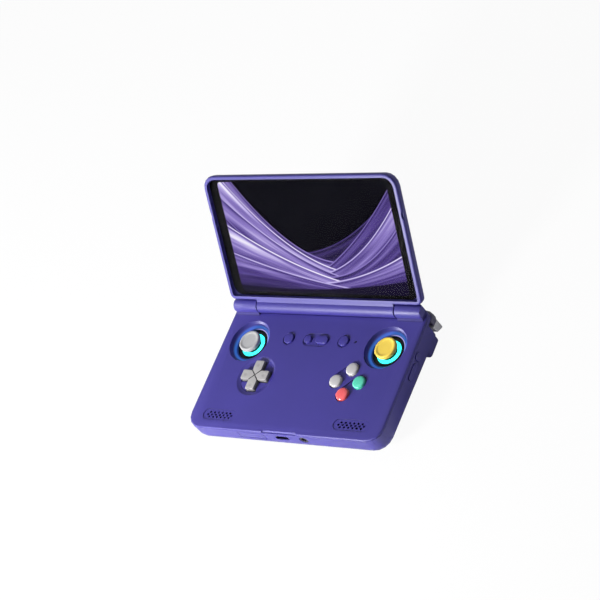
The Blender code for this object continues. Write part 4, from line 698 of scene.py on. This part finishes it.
curve.points[1].location = (1.0, 0.80)
for place_along, tilt_share in ((0.24, 0.58), (0.38, 0.28), (0.76, 0.26), (0.86, 0.54)):
    curve.points.new(place_along, tilt_share)
tilt.mapping.update()
lean_angle = worked(bowl_group, "MULTIPLY", tilt.outputs[0], pi / 2)
lean_in = worked(bowl_group, "SINE", lean_angle)
lean_up = worked(bowl_group, "COSINE", lean_angle)
inward = worked(bowl_group, "MULTIPLY", lean_in, -1.0)
turned_ray = placed(bowl_group, "VectorRotate", {"Vector": ray.outputs[0], "Angle": lip_turn},
                    rotation_type="Z_AXIS")
sideways = scaled(bowl_group, turned_ray.outputs[0], inward)
far_side = placed(bowl_group, "VectorMath", {0: ray.outputs[0], 1: far_way}, operation="DOT_PRODUCT")
upright = placed(bowl_group, "CombineXYZ", {2: lean_up})
dished_face = placed(bowl_group, "VectorMath", {0: sideways, 1: upright.outputs[0]}, operation="ADD")
faced = mixed(bowl_group, "VECTOR", bowl_mask, enter.outputs["Normal"], dished_face.outputs[0])
bowl_group.links.new(bowl_mask, leave.inputs["Mask"])
bowl_group.links.new(depth, leave.inputs["Depth"])
bowl_group.links.new(far_side.outputs["Value"], leave.inputs["Far Side"])
bowl_group.links.new(faced, leave.inputs["Normal"])

deck_edge = 0.00022
grille_edge = 0.00004
grille_middle = (0.0469, -0.0550)
grille_half = (0.0118, 0.0040)
hole_span = (deck_level - 0.00085, deck_level - 0.00110)
trough_middle = (0.0475, -0.0290)
trough_half = (0.0150, 0.0170)
trough_drop = (0.00035, 0.00034)
foot_rise = (0.0009, 0.00085)
crease_reach = 0.0011
over_deck = 0.0001
dulling = 0.35
# The colour of the painted shade in the grille holes and on the trough walls.
painted_shade_colour = (0.006, 0.005, 0.030, 1.0)
deck_indigo = moulding("deck_indigo", indigo, edge_width=deck_edge, edge_sheen=0.12)
tree = deck_indigo.node_tree
skin = tree.nodes["Principled BSDF"]
bowl_face = placed(tree, "Group", node_tree=bowl_group)
tree.links.new(own_place(tree), bowl_face.inputs["Place"])
tree.links.new(skin.inputs["Normal"].links[0].from_socket, bowl_face.inputs["Normal"])
tree.links.new(bowl_face.outputs["Normal"], skin.inputs["Normal"])
# Painted glow: the light rings' blue light on the bowl walls is emission of the deck.
near_ring = ranged(tree, bowl_face.outputs["Depth"], (0.37, 0.66), eased=True)
past_lip = ranged(tree, bowl_face.outputs["Depth"], (0.78, 0.92), (1.0, 0.12), eased=True)
banded = worked(tree, "MULTIPLY", near_ring, past_lip)
painted_ring_glow = worked(tree, "MULTIPLY", banded, bowl_face.outputs["Mask"])
painted_glow_colour = scaled(tree, (0.010, 0.100, 0.38), painted_ring_glow)
# Painted highlight: a lilac emission on the far side of the bowls' inner lip.
lip_side = ranged(tree, bowl_face.outputs["Far Side"], (0.55, 0.95), eased=True)
lip_low = ranged(tree, bowl_face.outputs["Depth"], (0.86, 0.92), eased=True)
on_lip = worked(tree, "MULTIPLY", lip_side, lip_low)
lip_highlight = worked(tree, "MULTIPLY", on_lip, bowl_face.outputs["Mask"])
lip_highlight_colour = scaled(tree, (0.40, 0.33, 0.72), lip_highlight)
painted_glow_and_highlight = placed(tree, "VectorMath", {0: painted_glow_colour, 1: lip_highlight_colour}, operation="ADD")
tree.links.new(painted_glow_and_highlight.outputs[0], skin.inputs["Emission Color"])
deck_place = placed(tree, "SeparateXYZ", {0: own_place(tree)})
# Painted shade: the grille holes and the trough walls by the face buttons are coloured near black.
grille_side = worked(tree, "ABSOLUTE", deck_place.outputs["X"])
grille_x = worked(tree, "COMPARE", grille_side, grille_middle[0], grille_half[0])
grille_y = worked(tree, "COMPARE", deck_place.outputs["Y"], grille_middle[1], grille_half[1])
hole_depth = ranged(tree, deck_place.outputs["Z"], hole_span)
in_grille = worked(tree, "MULTIPLY", grille_x, grille_y)
in_hole = worked(tree, "MULTIPLY", in_grille, hole_depth)
true_side = placed(tree, "SeparateXYZ", {0: placed(tree, "NewGeometry").outputs["True Normal"]})
steep = ranged(tree, true_side.outputs["Z"], (0.85, 0.55))
trough_x = worked(tree, "COMPARE", deck_place.outputs["X"], trough_middle[0], trough_half[0])
trough_y = worked(tree, "COMPARE", deck_place.outputs["Y"], trough_middle[1], trough_half[1])
trough_deep = worked(tree, "COMPARE", deck_place.outputs["Z"], deck_level - trough_drop[0], trough_drop[1])
in_trough = worked(tree, "MULTIPLY", trough_x, trough_y)
trough_side = worked(tree, "MULTIPLY", in_trough, trough_deep)
trough_wall_shade = worked(tree, "MULTIPLY", trough_side, steep)
shaded = worked(tree, "MAXIMUM", in_hole, trough_wall_shade)
deck_shade = skin.inputs["Base Color"].links[0].from_socket
# Painted shade: the foot of the hinge humps is darkened.
hump_foot = worked(tree, "COMPARE", deck_place.outputs["Z"], deck_level + foot_rise[0], foot_rise[1])
hump_foot_shade = ranged(tree, hump_foot, to=(1.0, 0.62))
# Painted shade: creases in the deck outside the bowls are darkened by their occlusion.
nook = placed(tree, "AmbientOcclusion", {"Distance": crease_reach}, samples=8, only_local=True)
crease_shade = ranged(tree, nook.outputs["AO"], (0.45, 0.90), (0.30, 1.0))
in_deck = worked(tree, "LESS_THAN", deck_place.outputs["Z"], deck_level + over_deck)
outside_bowl = worked(tree, "SUBTRACT", 1.0, bowl_face.outputs["Mask"])
nook_zone = worked(tree, "MULTIPLY", in_deck, outside_bowl)
nook_share = mixed(tree, "FLOAT", nook_zone, 1.0, crease_shade)
foot_and_crease_shade = worked(tree, "MULTIPLY", hump_foot_shade, nook_share)
foot_shade = scaled(tree, deck_shade, foot_and_crease_shade)
holed = mixed(tree, "RGBA", shaded, foot_shade, painted_shade_colour)
tree.links.new(holed, skin.inputs["Base Color"])
deck_gloss = skin.inputs["Roughness"].links[0].from_socket
duller = worked(tree, "MULTIPLY_ADD", hump_foot, dulling, deck_gloss)
tree.links.new(duller, skin.inputs["Roughness"])
plain_edge = ranged(tree, in_grille, to=(deck_edge, grille_edge))
deck_edge_round = next(node for node in tree.nodes if node.type == "GROUP" and node.node_tree == edge_group)
tree.links.new(plain_edge, deck_edge_round.inputs["Width"])
skin.inputs["Emission Strength"].default_value = 1.0
dress(deck_indigo, "top_shell")

# Stick caps
# A soft rubber cap is pressed on each stem, grey on the left and yellow on the right.
# It has a dished top inside a raised ring, and fine ribs round its side.

cap_rows = [
    (0, 0.00027), (0.0022, 0.00028), (0.0040, 0.00032), (0.0046, 0.00037), (0.0049, 0.00046),
    (0.0052, 0.00060), (0.0055, 0.00068), (0.0059, 0.00070), (0.0062, 0.00066), (0.00645, 0.00054),
    (0.00663, 0.00036), (0.00672, 0.00012), (0.00675, -0.00010), (0.00675, -0.0012), (0.00672, -0.00145),
    (0.0066, -0.00165), (0.0063, -0.0018), (0.0032, -0.0018), (0.0032, -0.0027), (0.0022, -0.0027),
    (0.0022, -0.0004), (0, -0.0004),
]
cap_colours = {"left": (0.41, 0.415, 0.42), "right": (0.91, 0.66, 0.085)}
for side, colour in cap_colours.items():
    rubber = moulding(side + "_cap_rubber", colour, roughness=0.52, grain_scale=3600.0, grain_depth=0.000016,
                      edge_sheen=0.12)
    spot = (cap_middles[side].x, cap_middles[side].y, deck_level)
    cap = turned(side + "_thumb_cap", cap_rows, 288, spot, rubber, ribs=72, rib_depth=0.00010,
                 rib_radius=0.0067)
    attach(cap, side + "_cap")
    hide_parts(side + "_stick_cap")

# Bumpers and triggers
# Dark grey bumpers swing on upright steel pins in the rear corners, and light grey triggers hang below them.
# All four are moulded, and their edges get a painted highlight.

dark_grey = moulding("bumper_grey", (0.100, 0.092, 0.160), roughness=0.38, edge_sheen=0.30)
dress(dark_grey, "left_bumper", "right_bumper")
trigger_grey = moulding("trigger_grey", (0.78, 0.775, 0.79), roughness=0.36, edge_sheen=0.25)
dress(trigger_grey, "left_trigger", "right_trigger")
dress(bright_steel, "left_bumper_pin", "right_bumper_pin", "left_trigger_pin", "right_trigger_pin")

# Hinge shafts
# Two ground steel shafts are fixed in the humps of the deck, and the lid's barrel turns on them.
# Their friction holds the lid at any angle.

dress(bright_steel, "hinge_shaft_left", "hinge_shaft_right")

# Lid
# The screen's rim with the long hinge barrel, and the crowned back tray, are mouldings of the same plastic.
# They snap together round the display.

dress(satin_indigo, "lid_frame", "lid_back")

# Display
# The panel is bonded behind the glass and lit from behind. It shows a plain wallpaper of silk veils
# in lilac and violet on black, drawn here as hems that sweep up from a low waist to both sides.

lid_axis = Vector((0.0, 0.016722, 0.0207))
lid_up = Vector((0.0, 0.56208, 0.82708))
lid_out = Vector((0.0, -0.82708, 0.56208))
picture_half = 0.0597
picture_low = 0.0088
picture_high = 0.0760
veil_group, enter, leave = new_group(
    "silk_veil", "ShaderNodeTree",
    ["Across", "Up", "Waist", "Slope", "Bow", "Depth", "Light", "Seed"], ["Mask", "Shade"],
)
waist_place = 0.58
least_spread = 0.35
spread_growth = 1.6
fading = 0.36
thread_step = 2.4
thread_stretch = 1.1
hem_light = 0.55
least_light = 0.04
from_waist = worked(veil_group, "SUBTRACT", enter.outputs["Across"], waist_place)
squared = worked(veil_group, "MULTIPLY", from_waist, from_waist)
leaning = worked(veil_group, "MULTIPLY_ADD", from_waist, enter.outputs["Slope"], enter.outputs["Waist"])
hem = worked(veil_group, "MULTIPLY_ADD", squared, enter.outputs["Bow"], leaning)
fall = worked(veil_group, "SUBTRACT", hem, enter.outputs["Up"])
mask = ranged(veil_group, fall, (0.0, 0.008), eased=True)
spread = worked(veil_group, "MULTIPLY_ADD", squared, spread_growth, least_spread)
drop = worked(veil_group, "MULTIPLY", spread, enter.outputs["Depth"])
down = worked(veil_group, "DIVIDE", fall, drop)
fade = worked(veil_group, "POWER", fading, down)
hem_line = ranged(veil_group, fall, (0.010, 0.022), (1.0, 0.0), eased=True)
under_hem = ranged(veil_group, fall, (0.018, 0.055), (0.45, 1.0), eased=True)
lane = worked(veil_group, "MULTIPLY_ADD", down, thread_step, enter.outputs["Seed"])
along = worked(veil_group, "MULTIPLY", enter.outputs["Across"], thread_stretch)
thread_place = placed(veil_group, "CombineXYZ", {0: along, 1: lane})
threads = placed(veil_group, "TexNoise", {"Vector": thread_place.outputs[0], "Scale": 2.0, "Detail": 2.0})
weave = ranged(veil_group, threads.outputs["Fac"], (0.25, 0.75), (0.45, 1.30))
body = worked(veil_group, "MULTIPLY", fade, weave)
folded = worked(veil_group, "MULTIPLY", body, under_hem)
edged = worked(veil_group, "MULTIPLY_ADD", hem_line, hem_light, folded)
lit = worked(veil_group, "MULTIPLY_ADD", edged, enter.outputs["Light"], least_light)
veil_group.links.new(mask, leave.inputs["Mask"])
veil_group.links.new(lit, leave.inputs["Shade"])

lit_panel, tree, skin = new_finish("lit_panel")
skin.inputs["Base Color"].default_value = (0.0008, 0.0008, 0.0010, 1.0)
skin.inputs["Roughness"].default_value = 0.30
skin.inputs["Specular IOR Level"].default_value = 0.0
skin.inputs["Emission Strength"].default_value = 1.0
panel_place = own_place(tree)
from_axis = placed(tree, "VectorMath", {0: panel_place, 1: tuple(lid_axis)}, operation="SUBTRACT")
risen = placed(tree, "VectorMath", {0: from_axis.outputs[0], 1: tuple(lid_up)}, operation="DOT_PRODUCT")
sideways = placed(tree, "SeparateXYZ", {0: panel_place})
across_picture = ranged(tree, sideways.outputs[0], (-picture_half, picture_half), held=False)
up_picture = ranged(tree, risen.outputs["Value"], (picture_low, picture_high), held=False)
veils = (
    (0.42, 0.55, 1.30, 0.50, 0.26, 9.0), (0.30, -0.30, 2.30, 0.62, 0.62, 5.0),
    (0.27, 1.10, 1.10, 0.42, 0.52, 1.0), (0.24, -0.55, 1.60, 0.62, 1.05, 13.0),
    (0.21, 0.62, 1.70, 0.46, 0.92, 3.0), (0.19, -0.62, 0.95, 0.50, 0.80, 7.0),
    (0.16, 0.20, 1.90, 0.36, 0.62, 15.0), (0.14, -0.50, 0.55, 0.36, 1.10, 4.0),
    (0.115, 0.25, 0.75, 0.26, 0.95, 8.0), (0.085, -0.30, 0.30, 0.22, 0.85, 11.0),
    (0.05, 0.10, 0.22, 0.20, 0.06, 2.0),
)
picture = 0.0
for waist, slope, bow, depth_below, light, seed in veils:
    veil = placed(tree, "Group", node_tree=veil_group)
    tree.links.new(across_picture, veil.inputs["Across"])
    tree.links.new(up_picture, veil.inputs["Up"])
    for socket, value in (("Waist", waist), ("Slope", slope), ("Bow", bow), ("Depth", depth_below),
                          ("Light", light), ("Seed", seed)):
        veil.inputs[socket].default_value = value
    picture = mixed(tree, "FLOAT", veil.outputs["Mask"], picture, veil.outputs["Shade"])
tones = placed(tree, "ValToRGB", {0: picture})
ramp = tones.color_ramp
ramp.elements[0].position = 0.0
ramp.elements[0].color = (0.0010, 0.0008, 0.0030, 1.0)
ramp.elements[1].position = 1.0
ramp.elements[1].color = (0.92, 0.88, 1.0, 1.0)
for position, colour in ((0.12, (0.014, 0.009, 0.040, 1.0)), (0.35, (0.085, 0.052, 0.250, 1.0)),
                         (0.60, (0.270, 0.200, 0.560, 1.0)), (0.80, (0.560, 0.480, 0.830, 1.0))):
    ramp.elements.new(position).color = colour
tree.links.new(tones.outputs[0], skin.inputs["Emission Color"])


def window_outline(half, low, high, corner):
    """The outline of a window in the lid with rounded corners, as places across and up it, anticlockwise."""
    spots = []
    for x, y, start in ((half - corner, low + corner, -90), (half - corner, high - corner, 0),
                        (corner - half, high - corner, 90), (corner - half, low + corner, 180)):
        for k in range(9):
            a = radians(start + 90 * k / 8)
            spots.append((x + corner * cos(a), y + corner * sin(a)))
    return spots


def lid_layer(name, material, rings_at, capped):
    """A thin layer of the screen, from outlines that each lie at their own height out of the lid."""
    form = bmesh.new()
    rings = []
    for outline, out in rings_at:
        places = [lid_axis + Vector((x, 0, 0)) + lid_up * up + lid_out * out for x, up in outline]
        rings.append([form.verts.new(place) for place in places])
    join_rings(form, rings, capped)
    bmesh.ops.recalc_face_normals(form, faces=form.faces)
    layer = make_piece(form, name, (0, 0, 0), material)
    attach(layer, "lid")


film_edge = 0.0003
film = window_outline(picture_half + film_edge, picture_low - film_edge, picture_high + film_edge, 0.0024)
lid_layer("picture_film", lit_panel, ((film, -0.00056), (film, -0.00050)), capped=True)

# Screen border
# Black ink printed on the back of the glass hides the edge of the panel and the glue round it.
# The panel behind it is as black.

border_ink = moulding("border_ink", (0.0060, 0.0056, 0.0068), roughness=0.45, grain_depth=0.000002,
                      edge_sheen=0.0)
border_ink.node_tree.nodes["Principled BSDF"].inputs["Specular IOR Level"].default_value = 0.02
outer = window_outline(0.0658, 0.0068, 0.0780, 0.0058)
inner = window_outline(picture_half, picture_low, picture_high, 0.0022)
ink_top = -0.00036
ink_foot = -0.00046
lid_layer("screen_border", border_ink,
          ((outer, ink_top), (inner, ink_top), (inner, ink_foot), (outer, ink_foot)), capped=False)
dress(border_ink, "display_panel")

# Cover glass
# Strengthened glass with a coating that cuts its reflection lies in the pocket of the rim.
# Thumbs leave faint greasy marks, which show only in its gloss.

cover_glass, tree, skin = new_finish("cover_glass")
skin.inputs["Base Color"].default_value = (0.97, 0.97, 0.98, 1.0)
skin.inputs["Transmission Weight"].default_value = 1.0
skin.inputs["IOR"].default_value = 1.10
smears = placed(tree, "TexNoise", {"Vector": own_place(tree), "Scale": 55.0, "Detail": 4.0,
                                   "Distortion": 0.6})
wiped = ranged(tree, smears.outputs["Fac"], (0.45, 0.75), (0.0, 0.035))
tree.links.new(wiped, skin.inputs["Roughness"])
dress(cover_glass, "screen_glass")

# Feet and screws
# Four soft moulded rubber feet are glued in their recesses under the tray.
# Four blackened steel screws draw the two halves of the case together from below.

foot_rubber = moulding("foot_rubber", (0.030, 0.030, 0.034), roughness=0.72, grain_scale=2200.0,
                       grain_depth=0.000030, edge_sheen=0.10)
dress(foot_rubber, "foot_front_left", "foot_front_right", "foot_rear_left", "foot_rear_right")
black_steel = brushed_metal("black_steel", (0.06, 0.06, 0.065), 0.42, (1.0, 1.0, 0.10))
dress(black_steel, "screw_front_left", "screw_front_right", "screw_rear_left", "screw_rear_right")
